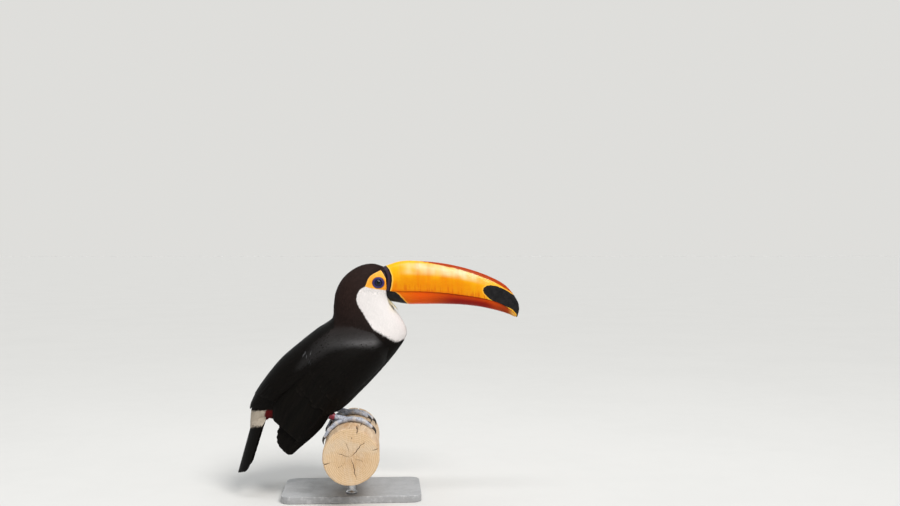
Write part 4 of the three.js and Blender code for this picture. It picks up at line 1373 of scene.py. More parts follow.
def mandible(outer_line, share, first, last, rows, around):
    """One half of the bill: an arch over the mouth line whose height is a sine, closed by an inner
    face, with small uneven notches cut into its biting edge. The lower half's inner face swells
    into a hollow in the upper one's, both as a half ellipse. Gives the rings, the station, the
    arch's height from 0 to 1, and the points of the sharp edge."""
    station = between(first, last, np.linspace(0, 1, rows) ** 0.94)
    station, round_it = grids(station[:, None], shares(around))
    mouth, outer = mouth_line(station), outer_line(station)
    depth = norm(outer - mouth)
    up = (outer - mouth) / depth[..., None]
    depth = np.maximum(depth - GAP / 2, 0.05)
    arch = round_it < 0.75
    angle = np.pi * np.clip(round_it / 0.75, 0, 1)
    rise = np.where(arch, np.clip(np.sin(angle), 0, 1) ** 0.9, 0)
    across = np.where(arch, np.cos(angle), -1 + 2 * np.clip((round_it - 0.75) * 4, 0, 1))
    bite = np.abs(np.sin(station * 9.5 + 0.8 * np.sin(station * 3.1))) ** 6
    bite = 0.3 * bite * ease(station, 1.2, 2.0) * ease(-station, -7.8, -7.2)
    edge = ease(-rise, -0.3, 0.0) * ease(np.abs(across), 0.6, 0.9)
    height = GAP / 2 + depth * rise + bite * edge * (1 if share == 1 else 0.4)
    nest = (1.5 if share == 1 else -1) * np.minimum(1, bill_half(station) / 9)
    height = np.where(arch, height, height + nest * np.sqrt(np.clip(1 - across**2, 0, 1)))
    point = mouth + up * height[..., None]
    side = -bill_half(station) * share * across * (1 - 0.1 * (1 - rise))
    rings = xyz(point[..., 0], side, point[..., 1])
    swell = 0.1 * ripple(rings, 22, 21) + 0.05 * ripple(rings, 9, 22)
    rings[..., 1] += np.sign(side) * swell * ease(rise, 0.05, 0.3) * ease(-station, -8.6, -7)
    sharp = (np.abs(round_it - 0.75) < 1e-9) | (round_it == 0)
    return rings, station, rise, sharp.astype(float)


def blend_tints(base, *layers):
    """Colours laid over a base in turn, each by its share."""
    for colour, share in layers:
        base = between(base, np.array(colour, float), share[..., None])
    return opaque(base)


def make_bill(look, upper):
    """The upper or lower bill with its base tint and the distances into its markings."""
    size = (ridge_line, 1.0, -0.14, 9, 330, 128) if upper else (keel_line, 0.9, -0.14, 8.8, 260, 96)
    rings, station, rise, sharp = mandible(*size)
    x, _, z = np.moveaxis(rings, -1, 0)
    yellow, orange, red = map(np.array, (look.bill_yellow, look.bill_orange, look.bill_red))
    if upper:
        deep = norm(ridge_line(station) - mouth_line(station)) * (1 - rise)
        half = (4.2 * ease(x, 92, 150) + 1.1 * ease(x, 150, 190)) * ease(-x, -258, -235)
        comb = ease(ripple(rings * [1, 0.05, 0.12], 3.4, 33), 0.1, 1.2) * ease(-rise, -0.34, -0.08)
        # A pale band along the upper flank: partly the bill's own pale tone, partly a painted
        # highlight.
        pale = ease(rise, 0.5, 0.68) * ease(-rise, -0.98, -0.88)
        pale = pale * ease(x, 66, 100) * ease(-x, -222, -170)
        ridge = ease(half - deep + 0.35 * ripple(rings, 7, 31), -0.8, 0.5) * ease(half, 0.2, 1)
        tint = blend_tints(
            orange,
            (yellow, ease(rise + 0.08 * ripple(rings, 30, 32), 0.3, 0.95)),
            (orange * [0.9, 0.5, 0.6], ease(-rise, -0.1, 0) * 0.6),
            (yellow, ease(-x, -86, -64) * 0.6 * ease(rise, 0.1, 0.5)),
            (yellow, ease(x, 165, 205) * 0.5),
            (orange * [0.8, 0.3, 0.4], comb * 0.55),
            # The pale band: partly its own colour, partly a painted highlight.
            ((0.74, 0.64, 0.34), pale * (0.7 + 0.2 * ripple(rings, 16, 34))),
            (red * [1.3, 3.2, 2], ridge * 0.95),
        )
        black, band = inside_by(BILL_BLACK, rings), np.interp(z, BAND_Z, BAND_FRONT) - x
    else:
        deep = ease(x, 100, 165) * ease(-x, -240, -205)
        tint = blend_tints(
            orange * [1, 0.38, 0.2],
            (orange, ease(-x, -100, -76) * 0.3),
            (red, deep * (0.6 + 0.4 * ease(rise, 0.1, 0.6))),
            ((0.22, 0.02, 0.003), ease(x, 212, 236) * 0.8),
            ((0.72, 0.38, 0.07), ease(x, 240, 252)),
        )
        black, band = inside_by(KEEL_BLACK, rings), np.full(x.shape, -UNMARKED)
    return loft(rings, rim=sharp, tint=tint, black_mm=black, band_mm=band)


# ---- eyes


def make_eye(side):
    """An eyeball: rings about its outward axis, with the clear front swelled a little, and the
    distance and angle from the axis."""
    polar = np.concatenate([np.linspace(0.02, 0.9, 40), np.linspace(0.96, np.pi - 0.1, 24)])
    polar, angle = grids(polar[:, None], circle(72))
    far = EYE["radius"] * np.sin(polar)
    swell = 0.55 * np.clip(1 - (far / 4.7) ** 2, 0, 1) ** 1.4 * (polar < np.pi / 2)
    out = EYE["radius"] * np.cos(polar) + swell
    centre = np.array([EYE["x"], side * (EYE_SIDE - EYE["depth"]), EYE["z"]])
    rings = np.stack([far * np.cos(angle), side * out, far * np.sin(angle)], -1) + centre
    far = np.where(polar < np.pi / 2, far, EYE["radius"])
    return loft(rings, iris=xyz(far, np.abs(angle - np.pi), 0))


# ---- legs, feet and ring


def scaled_limb(at, length, rows, size, pads, dim=1.0, on_log=True):
    """A limb with cross scales on its upper side, each a low saw tooth of a given size along it,
    and soft pads beneath; and marks for the scales and their joints."""
    t, turn = grids(np.linspace(0, 1, rows)[:, None], shares(36))
    height = np.sin(TURN * turn)
    count = max(round(length / size), 3)
    phase = (t * count) % 1
    top = ease(height, -0.35, 0.45)
    tooth = 0.26 * (1 - phase) ** 1.6 * top
    swell = 0.5 + 0.5 * np.cos(TURN * pads * t)
    pad = 0.35 * swell * ease(-height, 0.2, 0.9)
    grains = 0.05 * np.sin(t * count * 9) * np.sin(TURN * turn * 12) * (1 - top)
    rings = at(t, turn, tooth + pad + grains - 0.12)
    if on_log:
        x, z = rings[..., 0], rings[..., 2] - LOG["height"]
        far = np.hypot(x, z)
        held = np.maximum(far, LOG["radius"] - 0.35)
        rings[..., 0], rings[..., 2] = x * held / far, z * held / far + LOG["height"]
    scale = np.where(top > 0.4, np.minimum(phase, 1 - phase) * 2, 0.6)
    return loft(rings, scale=scale, joint=swell**3 * dim)


def toe_point(toe, side):
    """A toe's surface on the log, knuckled by a cosine, and its length."""
    to, spread, radius, _ = TOES[toe]
    places, radii = [], []
    for i in range(7):
        t = i / 6
        reach = radius * (1 - 0.28 * t) * (1 + 0.07 * math.cos(t * 3 * TURN))
        y = side * (STANCE + spread * math.sin(t * math.pi / 2))
        places.append(over_log(between(FOOT_ANGLE, to, t), y, GAP + reach))
        radii.append(reach * (0.72 if i == 6 else 1))
    return limb_point(places, radii), norm(np.diff(np.array(places), axis=0)).sum()


# Shares of the way from foot to ankle, and how far the leg bows up there in mm.
LEG_LINE = ((-0.06, 0), (0.15, 0.4), (0.5, 0.2), (0.85, 0), (1, 0))


def leg_foot(side):
    """Where the leg's line meets the foot."""
    return over_log(FOOT_ANGLE, side * STANCE, GAP + 4.4)


def make_leg(side):
    """A leg and its four toes, two forward and two back, with a rounded palm where they meet."""
    foot, ankle = (np.array(p) for p in (leg_foot(side), (ANKLE[0], side * STANCE, ANKLE[1])))
    places = [between(foot, ankle, t) + [0, 0, lift] for t, lift in LEG_LINE]
    shin = limb_point(places, [4.4, 4.1, 3.6, 3.9, 4.5])
    shells = [scaled_limb(shin, 47, 120, 4.2, 1, 0.2, on_log=False)]
    shells += [scaled_limb(*toe_point(toe, side), 110, 2.3, 3) for toe in TOES]
    palm = [over_log(-14 - 9 * y, side * (STANCE + y), 3.6) for y in (1, 0, -1)]
    shells.append(scaled_limb(limb_point(palm, [3, 5.2, 3]), 14, 40, 2.6, 1, 0.4))
    return joined(shells)


def make_claws(side):
    """Four claws: narrow cones that arch over the wood and taper to a point, keeled above."""
    shells = []
    for to, spread, radius, claw in TOES.values():
        places, radii = [], []
        for i in range(8):
            t = i / 7
            reach = radius * 0.62 * (1 - t) ** 0.75 + 0.18
            degrees = to - math.copysign(2, claw) + claw * t
            height = GAP + reach + 1.6 * math.sin(t * math.pi)
            places.append(over_log(degrees, side * (STANCE + spread), height))
            radii.append(reach)
        t, turn = grids(np.linspace(0, 1, 36)[:, None], shares(20))
        keel = 0.12 * (1 - t) * np.clip(np.sin(TURN * turn), 0, 1) ** 6
        shells.append(loft(limb_point(places, radii, 0.8)(t, turn, keel), along=t))
    return joined(shells)


def make_ring():
    """The leg ring: a flat band round the leg with rounded edges and a narrow split in its side."""
    foot = leg_foot(0)
    rise = math.atan2(ANKLE[1] - foot[2], foot[0] - ANKLE[0])
    height = foot[2] + (foot[0] - RING["x"]) * math.tan(rise) + 0.3
    profile = circle(28)
    round_it = np.linspace(0.012, 0.988, 90)[:, None] * TURN
    power = lambda v: np.sign(v) * np.abs(v) ** 0.35
    along, out = power(np.cos(profile)), power(np.sin(profile))
    inner, outer = RING["inner"], RING["outer"]
    reach = (inner + outer) / 2 + (outer - inner) / 2 * out
    local = xyz(RING["length"] / 2 * along, reach * np.cos(round_it), reach * np.sin(round_it))
    c, s = math.cos(rise), math.sin(rise)
    rings = local @ np.array([[c, 0, s], [0, 1, 0], [-s, 0, c]]).T + [RING["x"], -STANCE, height]
    return loft(rings, edge=np.broadcast_to(np.abs(along) ** 6, rings.shape[:2]))


# ---- log and stand

# Cracks in the log: the angle from its crown, where it starts and ends along it, how far it
# wanders in degrees, its width in degrees and its depth in mm.
CRACKS = [
    (12, -102, -52, 5, 2.6, 5.5), (20, -60, -22, 3, 1.3, 2.4), (8, 46, 102, 5, 2.2, 4.5),
    (-16, -4, 40, 3, 1.1, 2.0), (-40, -90, 10, 4, 1.5, 3.2), (44, -40, 70, 5, 1.7, 3.5),
    (-72, -20, 95, 5, 1.7, 3.6), (74, -102, -30, 4, 1.9, 3.8), (-105, -102, 20, 5, 1.8, 3.6),
    (112, -30, 102, 5, 2.1, 4.0), (150, -80, 60, 6, 2.2, 4.2), (-150, -30, 102, 6, 1.9, 3.6),
    (-4, -100, -84, 1, 1.0, 1.6), (31, 74, 101, 2, 1.1, 2.0), (-27, 66, 101, 2, 1.0, 1.8),
]


def log_cracks(degrees, y):
    """How deep the cracks are at angles and places along the log, and how dark their painted shade
    is: a notch about each one's wandering line, narrowing to both its ends."""
    deep, dark = 0 * degrees * y, 0 * degrees * y
    for k, (at, low, high, wander, width, depth) in enumerate(CRACKS):
        t = np.clip((y - low) / (high - low), 0, 1)
        middle = at + wander * 0.4 * np.sin(y * 0.045 + k * 2.1)
        middle = middle + wander * 0.13 * np.sin(y * 0.31 + k)
        wide = width * np.sin(np.pi * np.clip(0.03 + 0.94 * t, 0, 1)) ** 0.55 + 0.02
        inside = (y >= low) & (y <= high)
        off = np.abs((degrees - middle + 180) % 360 - 180) / wide
        notch = np.clip(1 - off, 0, 1) * inside
        deep = np.maximum(deep, notch**0.8 * depth)
        dark = np.maximum(dark, notch)
    return deep, dark


def on_log_axis(angle, radius, y):
    """Points at angles from the log's crown, at distances from its axis."""
    return xyz(np.sin(angle) * radius, y, LOG["height"] + np.cos(angle) * radius)


def log_rings(y, count):
    """The log's rings: nearly round with three soft flats, ripples drawn out along it, cracks.
    Gives the angles, the distances from its axis and how dark the cracks' painted shade is."""
    y, angle = grids(y, circle(count))
    v = y / LOG["length"] + 0.5
    radius = LOG["radius"] * (1 - 0.012 * np.sin(3 * angle + 4 * v) - 0.012)
    deep, dark = log_cracks(np.degrees(angle), y)
    far = xyz(np.sin(angle) * radius, y * 0.1, np.cos(angle) * radius)
    radius = radius + 0.16 * ripple(far, 7, 51) + 0.08 * ripple(far, 2.4, 52) - deep
    feet = np.exp(-(((np.abs(y) - STANCE) / 14) ** 2)) * ease(np.cos(angle), 0.2, 0.6)
    return angle, radius - 0.12 * feet, dark


def make_log():
    """The log's round side between two rounded arrises, closed at its ends out of sight."""
    half = LOG["length"] / 2
    lip = np.array([half - 0.35, half - 0.05, half - 2])
    y = np.concatenate([-lip[::-1], np.linspace(-half + 1.2, half - 1.2, 130), lip])[:, None]
    inward = np.concatenate([[3, 1.3, 0.45], np.zeros(130), [0.45, 1.3, 3]])[:, None]
    angle, radius, dark = log_rings(y, 340)
    # The cracks carry their painted shade.
    return loft(on_log_axis(angle, radius - inward, y), crack=dark)


# Splits in the sawn ends: angle, where it starts and ends as shares of the radius, width in mm.
SPLITS = (
    (20, 0, 0.84, 0.8), (88, 0.16, 0.5, 0.3), (141, 0.05, 0.93, 0.9), (203, 0.3, 0.62, 0.25),
    (262, 0, 0.55, 0.55), (318, 0.1, 0.7, 0.4), (340, 0.45, 0.88, 0.25),
)


def make_log_ends():
    """Both sawn ends as thin plates: rings of points from the heart out to the rim and back behind,
    split by the cracks that reach the end and by a few more that run from the heart."""
    shells, half = [], LOG["length"] / 2
    share = np.concatenate([np.linspace(0.03, 1, 60), np.linspace(1, 0.03, 3)])[:, None]
    front = (np.arange(63) < 60)[:, None]
    for way in (-1, 1):
        angle, rim, dark = log_rings(np.array([[way * (half - 0.6)]]), 240)
        radius = (rim - 1.25) * share
        split = dark * ease(share, 0.72, 1.0)
        for k, (at, start, reach, wide) in enumerate(SPLITS):
            at = at + (0 if way > 0 else 23) + 2.5 * np.sin(share * 9 + k)
            at = at + 1.2 * np.sin(share * 31 + k)
            off = np.abs((np.degrees(angle) - at + 180) % 360 - 180) * radius * np.pi / 180
            t = np.clip((share - start) / (reach - start), 0, 1)
            notch = np.clip(1 - off / (wide * np.sin(np.pi * t) + 0.01), 0, 1)
            split = np.maximum(split, notch)
        flat = xyz(radius * np.sin(angle), 0, radius * np.cos(angle))
        out = half - 0.05 - 0.12 * ripple(flat, 5, 61)
        out = np.where(front, out - 1.6 * split, half - 4)
        # The splits carry their painted shade.
        shells.append(loft(on_log_axis(angle, radius, way * out), crack=split * front))
    return joined(shells)


def make_base():
    """The base plate: a rounded rectangle carried up a profile with rounded edges."""
    size, corner = np.array([STAND["length"], STAND["depth"]]) / 2, STAND["corner"]
    quarter = np.linspace(0, np.pi / 2, 17)
    outline = np.vstack([
        (size - corner) * centre + corner * np.stack([np.cos(turn), np.sin(turn)], -1)
        for centre, turn in zip(([1, 1], [-1, 1], [-1, -1], [1, -1]),
                                (quarter + k * np.pi / 2 for k in range(4)))
    ])
    bend = np.linspace(0, np.pi / 2, 7)
    b, top = STAND["bevel"], STAND["thickness"]
    inset = [[b + 14, b + 1], b - b * np.sin(bend), b - b * np.cos(bend), [b + 1, b + 14]]
    height = [[0, 0], b - b * np.cos(bend), top - b + b * np.sin(bend), [top, top]]
    inset, height = (np.concatenate(v)[:, None] for v in (inset, height))
    x, y = outline.T
    rings = xyz(x * (1 - inset / size[0]), y * (1 - inset / size[1]), height)
    edge = np.exp(-((inset - 0.45) ** 2) / 0.3)
    return loft(rings, edge=np.broadcast_to(edge, rings.shape[:2]))


# A rod's profile: height over its foot and distance past its radius.
ROD_COLLAR = ((0, 2.6), (2.2, 2.6), (2.8, 2), (3, 1.2), (3, 0), (6, 0), (14, 0), (20, 0))


def make_rod(side):
    """A rod from the base up to the log, with a low collar at its foot. Its top is cut to the
    log's round, a hair's breadth clear of it."""
    angle = circle(64)[0]
    foot, r = STAND["thickness"] + GAP * 0.2, ROD["radius"]
    profile = [(r * 0.5, foot), *((r + out, foot + up) for up, out in ROD_COLLAR)]
    for reach, drop in ((r, 0.35), (r - 0.35, 0.0), (r * 0.5, 0.0)):
        under = np.sqrt((LOG["radius"] + 0.1) ** 2 - (reach * np.cos(angle)) ** 2)
        profile.append((reach, LOG["height"] - under - drop))
    rings = [xyz(reach * np.cos(angle), reach * np.sin(angle), z) for reach, z in profile]
    return loft(np.array(rings) + [0, side * ROD["spacing"] / 2, 0])


# ---- settings


def tint(name, description, default):
    """A colour setting."""
    return bpy.props.FloatVectorProperty(
        name=name, description=description, default=default, subtype="COLOR", size=3, min=0, max=1)


class ToucanPlumage(bpy.types.PropertyGroup):
    """Sizes and colours of the plumage."""

    coat_depth: bpy.props.FloatProperty(
        name="Coat depth", description="How far the skin lies under the feather tips",
        default=0.0021, min=0.0005, max=0.005, unit="LENGTH")
    density: bpy.props.FloatProperty(
        name="Density", description="How closely the body feathers stand, 1 for a full coat",
        default=1.0, min=0.4, max=1.3, subtype="FACTOR")
    seed: bpy.props.IntProperty(
        name="Seed", description="Which chance arrangement of feathers is made", default=7, min=0)
    black_gloss: bpy.props.FloatProperty(
        name="Gloss", description="How strongly black feathers reflect", default=0.06, min=0, max=1,
        subtype="FACTOR")
    black_tint: tint("Black", "The body's feathers", (0.0046, 0.0036, 0.0028))
    brown_tint: tint("Brown black", "The head's feathers", (0.03, 0.0165, 0.0138))
    white_tint: tint("White", "The bib", (0.8, 0.755, 0.735))
    throat_tint: tint("Throat", "The bib's front, under the bill", (0.8, 0.7, 0.46))
    # Partly painted shade: the rump's cream is darker than its own whitish colour.
    cream_tint: tint("Cream", "The rump and the tail's upper coverts", (0.52, 0.445, 0.355))
    # Partly painted shade: the red is darker than the feathers' own crimson.
    red_tint: tint("Red", "The feathers under the tail", (0.1, 0.002, 0.003))


class ToucanBareParts(bpy.types.PropertyGroup):
    """Colours of the bill, the bare face and the feet."""

    bill_yellow: tint("Bill yellow", "The upper bill below its ridge", (0.84, 0.45, 0.006))
    bill_orange: tint("Bill orange", "The sides of the bill", (0.76, 0.262, 0.001))
    bill_red: tint("Bill red", "The lower bill's middle and the ridge", (0.27, 0.006, 0.001))
    bill_black: tint("Bill black", "The patches at the bill's tip and base", (0.009, 0.0085, 0.009))
    face_orange: tint("Face", "The bare skin about the eye", (0.93, 0.38, 0.02))
    eye_blue: tint("Eye ring", "The blue skin at the eye", (0.03, 0.022, 0.16))
    foot_blue: tint("Feet", "The scales of the legs and toes", (0.5, 0.52, 0.58))


class ToucanPerch(bpy.types.PropertyGroup):
    """Colours of the log and the stand."""

    wood_light: tint("Light wood", "The log's pale grain", (0.78, 0.6, 0.41))
    wood_dark: tint("Dark wood", "The log's dark grain", (0.58, 0.4, 0.24))
    stand_grey: tint("Stand", "The base's paint", (0.36, 0.36, 0.365))


class ToucanStage(bpy.types.PropertyGroup):
    """The camera, light and floor."""

    floor_colour: tint("Floor", "The plain floor and surroundings", (0.69, 0.68, 0.66))
    lens: bpy.props.FloatProperty(
        name="Lens", description="Focal length on a sensor 36 mm wide", default=41.28, min=10,
        max=200, unit="CAMERA")
    camera_place: bpy.props.FloatVectorProperty(
        name="Camera", description="Where the camera stands", default=(0.0456, -1.6058, 0.3777),
        size=3, subtype="TRANSLATION", unit="LENGTH")
    camera_turn: bpy.props.FloatVectorProperty(
        name="Camera turn", description="Which way the camera looks",
        default=(math.radians(89.83), 0.0, math.radians(-3.77)), size=3, subtype="EULER",
        unit="ROTATION")
    key_power: bpy.props.FloatProperty(
        name="Key light", description="Strength of the main soft light", default=2.4, min=0,
        subtype="FACTOR", soft_max=5)
    strip_power: bpy.props.FloatProperty(
        name="Strip light", description="Power of the strip over the bird", default=8.0, min=0,
        unit="POWER")
    sky: bpy.props.FloatProperty(
        name="Surroundings", description="Brightness of the even light from all round",
        default=0.46, min=0, subtype="FACTOR", soft_max=2)


# ---- operators


SIDES = (("right", -1), ("left", 1))


def chance(context, part):
    """Seeded chance for one part."""
    return np.random.default_rng([context.scene.toucan_plumage.seed, part])


class TOUCAN_OT_skin(bpy.types.Operator):
    """One skin for the head, neck, trunk, rump and thighs"""

    bl_idname = "toucan.skin"
    bl_label = "Skin"

    def execute(self, context):
        scene = context.scene
        made = make_skin(scene.toucan_plumage)
        make_piece("skin", made, bare_skin(scene.toucan_bare), "plumage_black",
                   ("head", "neck", "trunk", "rump", "thigh_right", "thigh_left"))
        return {"FINISHED"}


class TOUCAN_OT_coat(bpy.types.Operator):
    """The body's feathers in their markings, shortest on the face"""

    bl_idname = "toucan.coat"
    bl_label = "Coat"

    def execute(self, context):
        look, rng = context.scene.toucan_plumage, chance(context, 2)
        (roots, length), (near, short) = body_coat(look, rng)
        kind = kind_of(roots, length)
        black, white = (black_plumage(look), "plumage_black"), (white_plumage(), "plumage_white")
        part = np.digitize(roots[:, 0], COAT_PARTS)
        for name, keep, finish_it in (
            ("coat_head", (kind == 0) & (part == 2), black),
            ("coat_neck", (kind == 0) & (part == 1), black),
            ("coat_trunk", (kind == 0) & (part == 0), black),
            ("coat_bib", kind == 1, white),
            ("coat_rump", kind == 2, white),
        ):
            shine, tip = (0.1, 0.1) if finish_it is black else (0.02, 0.05)
            made = coat_vanes(look, rng, roots[keep], length[keep], shine=shine, tip=tip)
            make_piece(name, made, *finish_it)
        dark = kind_of(near, short) == 0
        for name, keep, finish_it in (
            ("coat_face_dark", dark, black), ("coat_face_pale", ~dark, white)
        ):
            made = coat_vanes(look, rng, near[keep], short[keep], shape=0.42)
            make_piece(name, made, *finish_it)
        count = 90
        tuft = np.stack([rng.uniform(11.0, 11.9, count), rng.normal(0.5, 0.03, count)], -1)
        tints = shade(look.throat_tint, count, rng, 0.06) * 1.15
        made = lay_vanes(body_point, tuft, rng.uniform(6, 9, count), 2.4,
                         (0, rng.uniform(3, 10, count)), rng, tints, rows=5)
        make_piece("coat_chin", made, *white)
        return {"FINISHED"}


class TOUCAN_OT_thighs(bpy.types.Operator):
    """The feathers of both thighs, down to the ankles"""

    bl_idname = "toucan.thighs"
    bl_label = "Thigh feathers"

    def execute(self, context):
        look, rng = context.scene.toucan_plumage, chance(context, 3)
        roots = staggered(rng, 0.02, 0.99, 0.026, (42, 26), (0, 1))
        length = 14 - 8 * roots[:, 0]
        deep = -look.coat_depth / MM * (1 - roots[:, 0]) - 0.2
        tints = shade(palette(look)["black"], len(roots), rng)
        made = lay_vanes(thigh_point, roots, length, length * 0.34, (deep, 0.2), rng, tints, way=1)
        made = joined([made, mirrored(made)])
        make_piece("coat_thighs", made, black_plumage(look), "plumage_black")
        return {"FINISHED"}


class TOUCAN_OT_wings(bpy.types.Operator):
    """Both folded wings, their flight feathers and the shoulder lobes over them"""

    bl_idname = "toucan.wings"
    bl_label = "Wings"

    def execute(self, context):
        look = context.scene.toucan_plumage
        parts = (("wing", make_wing, "wing"), ("primaries", make_primaries, "primaries"),
                 ("shoulder", make_shoulder, "tertials"), ("mantle", make_mantle, None))
        for number, (part, maker, node) in enumerate(parts):
            for hand, side in SIDES:
                made = maker(look, chance(context, 10 + 2 * number + (side > 0)))
                made = made if side < 0 else mirrored(made)
                finish_it = glossy_plumage if node else black_plumage
                make_piece(f"{part}_feathers_{hand}", made, finish_it(look), "plumage_black",
                           (f"{node}_{hand}",) if node else ())
        return {"FINISHED"}


class TOUCAN_OT_tail(bpy.types.Operator):
    """The tail's ten feathers, with white coverts above its root and red ones beneath"""

    bl_idname = "toucan.tail"
    bl_label = "Tail"

    def execute(self, context):
        look = context.scene.toucan_plumage
        make_piece("tail_feathers", make_tail(look, chance(context, 20)), glossy_plumage(look),
                   "plumage_black", ("tail",))
        for name, above in (("coat_tail_coverts", True), ("coat_vent", False)):
            made = make_tail_coverts(look, chance(context, 21 + above), above)
            look_of = white_plumage() if above else black_plumage(look)
            make_piece(name, made, look_of, "plumage_white")
        return {"FINISHED"}


class TOUCAN_OT_bill(bpy.types.Operator):
    """The upper and lower bill"""

    bl_idname = "toucan.bill"
    bl_label = "Bill"

    def execute(self, context):
        look = context.scene.toucan_bare
        for part, upper in (("upper", True), ("lower", False)):
            make_piece(f"bill_{part}_horn", make_bill(look, upper), bill_horn(look), "bill_horn",
                       (f"bill_{part}",))
        return {"FINISHED"}


class TOUCAN_OT_eyes(bpy.types.Operator):
    """Both eyeballs"""

    bl_idname = "toucan.eyes"
    bl_label = "Eyes"

    def execute(self, context):
        for hand, side in SIDES:
            make_piece(f"eyeball_{hand}", make_eye(side), eye_glass(), "eye", (f"eye_{hand}",))
        return {"FINISHED"}


class TOUCAN_OT_feet(bpy.types.Operator):
    """Legs, toes, claws and the leg ring"""

    bl_idname = "toucan.feet"
    bl_label = "Feet"

    def execute(self, context):
        look = context.scene.toucan_bare
        for hand, side in SIDES:
            make_piece(f"scaled_leg_{hand}", make_leg(side), foot_skin(look), "leg_skin",
                       (f"leg_{hand}",))
            make_piece(f"claws_{hand}", make_claws(side), claw_horn(), "claw_horn",
                       [f"claw_{hand}_{digit}" for digit in TOES])
        make_piece("leg_band", make_ring(), ring_plastic(), "leg_ring", ("leg_ring",))
        return {"FINISHED"}


class TOUCAN_OT_log(bpy.types.Operator):
    """The length of log that the bird grips"""

    bl_idname = "toucan.log"
    bl_label = "Log"

    def execute(self, context):
        look = context.scene.toucan_perch
        make_piece("log_side", make_log(), weathered_wood(look), "perch_wood", ("perch",))
        make_piece("log_ends", make_log_ends(), cut_wood(), "perch_wood", ("perch",))
        return {"FINISHED"}


class TOUCAN_OT_stand(bpy.types.Operator):
    """The display stand's base and rods"""

    bl_idname = "toucan.stand"
    bl_label = "Stand"

    def execute(self, context):
        look = context.scene.toucan_perch
        make_piece("base_plate", make_base(), painted_steel(look), "stand_base", ("stand_base",))
        for name, side in (("near", -1), ("far", 1)):
            make_piece(f"rod_{name}", make_rod(side), brushed_steel(), "stand_rod",
                       (f"stand_rod_{name}",))
        return {"FINISHED"}


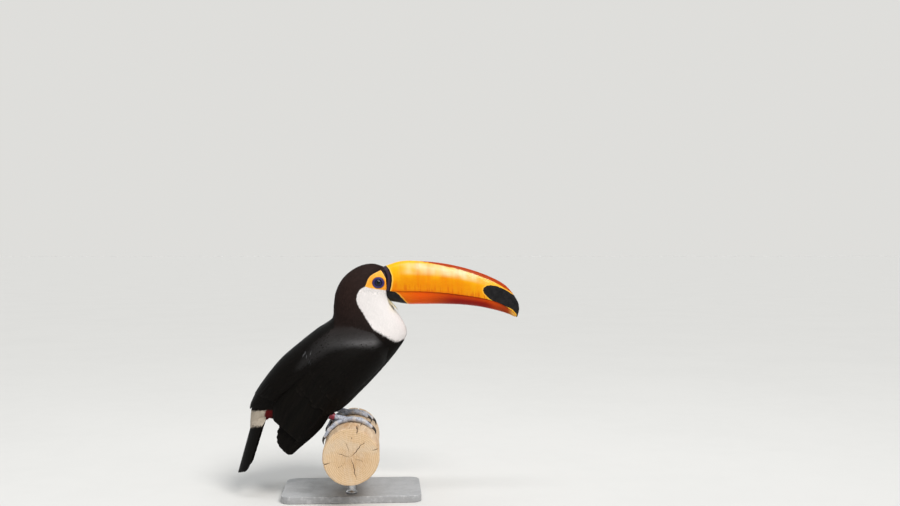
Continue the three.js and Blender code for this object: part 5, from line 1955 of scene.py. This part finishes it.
class TOUCAN_OT_stage(bpy.types.Operator):
    """The plain floor, soft light and camera"""

    bl_idname = "toucan.stage"
    bl_label = "Stage"

    def execute(self, context):
        scene, look = context.scene, context.scene.toucan_stage
        reach = 60.0
        corners = np.array([[-1, -1, 0], [1, -1, 0], [1, 1, 0], [-1, 1, 0]]) * reach
        mesh = bpy.data.meshes.new("floor")
        mesh.from_pydata(corners.tolist(), [], [(0, 1, 2, 3)])
        mesh.materials.append(plain_floor(look))
        floor = bpy.data.objects.new("floor", mesh)
        scene.collection.objects.link(floor)

        camera = bpy.data.objects.new("camera", bpy.data.cameras.new("camera"))
        camera.data.sensor_fit, camera.data.sensor_width = "HORIZONTAL", 36
        camera.data.lens = look.lens
        camera.data.clip_start, camera.data.clip_end = 0.05, 200
        camera.location, camera.rotation_euler = look.camera_place, look.camera_turn
        scene.collection.objects.link(camera)
        scene.camera = camera

        lamps = {  # kind, place, power, size, colour
            "strip": ("AREA", (0.12, -0.3, 1.75), look.strip_power, (1.5, 0.34), (0.97, 0.98, 1)),
            "key": ("SUN", (0.68, -1.02, 1.55), look.key_power, (0.42,), (1, 0.985, 0.96)),
            "rear": ("SUN", (-0.5, 1.0, 0.9), look.key_power * 0.25, (1.2,), (0.97, 1, 1)),
        }
        for name, (kind, place, power, size, colour) in lamps.items():
            lamp = bpy.data.lights.new(name, kind)
            lamp.energy, lamp.color = power, colour
            if kind == "AREA":
                lamp.shape, (lamp.size, lamp.size_y) = "RECTANGLE", size
            else:
                lamp.angle = size[0]
            holder = bpy.data.objects.new(name, lamp)
            holder.location = place
            aim = np.array([0.08, 0, 0.3]) - place
            flat = math.hypot(aim[0], aim[1])
            turn = math.atan2(-aim[0], aim[1]) if kind == "SUN" else 0
            holder.rotation_euler = (math.atan2(flat, -aim[2]), 0, turn)
            scene.collection.objects.link(holder)

        world = scene.world or bpy.data.worlds.new("surroundings")
        scene.world = world
        world.use_nodes = True
        w, sky = Wiring(world.node_tree), np.array([0.93, 0.97, 1])
        even = w.tree.nodes["Background"]
        w.plug(even, "Color", sky)
        w.plug(even, "Strength", look.sky)
        # What the camera sees behind the floor is as bright as the far floor.
        far = (sky * look.sky + np.array([0.27, 0.266, 0.26]) * look.key_power) * look.floor_colour
        seen = w.node("Background", Color=far, Strength=0.99)
        both = w.node("MixShader", w.node("LightPath", out="Is Camera Ray"), even.outputs[0], seen)
        w.plug(w.tree.nodes["World Output"], "Surface", both)
        scene.view_settings.view_transform = "Standard"
        scene.view_settings.look = "None"
        return {"FINISHED"}


class TOUCAN_PT_panel(bpy.types.Panel):
    """The bird's settings and its pieces in the order that they are made"""

    bl_idname = "TOUCAN_PT_panel"
    bl_label = "Toco toucan"
    bl_space_type = "VIEW_3D"
    bl_region_type = "UI"
    bl_category = "Toucan"

    def draw(self, context):
        for group in SETTINGS:
            settings = getattr(context.scene, group)
            for name in settings.__annotations__:
                self.layout.prop(settings, name)
        for operator in OPERATORS:
            self.layout.operator(operator.bl_idname)


SETTINGS = {
    "toucan_plumage": ToucanPlumage,
    "toucan_bare": ToucanBareParts,
    "toucan_perch": ToucanPerch,
    "toucan_stage": ToucanStage,
}
OPERATORS = (
    TOUCAN_OT_stage, TOUCAN_OT_skin, TOUCAN_OT_coat, TOUCAN_OT_thighs, TOUCAN_OT_wings,
    TOUCAN_OT_tail, TOUCAN_OT_bill, TOUCAN_OT_eyes, TOUCAN_OT_feet, TOUCAN_OT_log, TOUCAN_OT_stand,
)


def register():
    """Makes the settings, operators and panel known."""
    for made in (*SETTINGS.values(), *OPERATORS, TOUCAN_PT_panel):
        bpy.utils.register_class(made)
    for name, group in SETTINGS.items():
        setattr(bpy.types.Scene, name, bpy.props.PointerProperty(type=group))


def unregister():
    """Takes them away again."""
    for name in SETTINGS:
        delattr(bpy.types.Scene, name)
    for made in reversed((*SETTINGS.values(), *OPERATORS, TOUCAN_PT_panel)):
        bpy.utils.unregister_class(made)


def main():
    """Makes every piece in turn."""
    register()
    for operator in OPERATORS:
        group, name = operator.bl_idname.split(".")
        if getattr(getattr(bpy.ops, group), name)() != {"FINISHED"}:
            raise RuntimeError(f"{operator.bl_label} wasn't made")


if __name__ == "__main__":
    main()
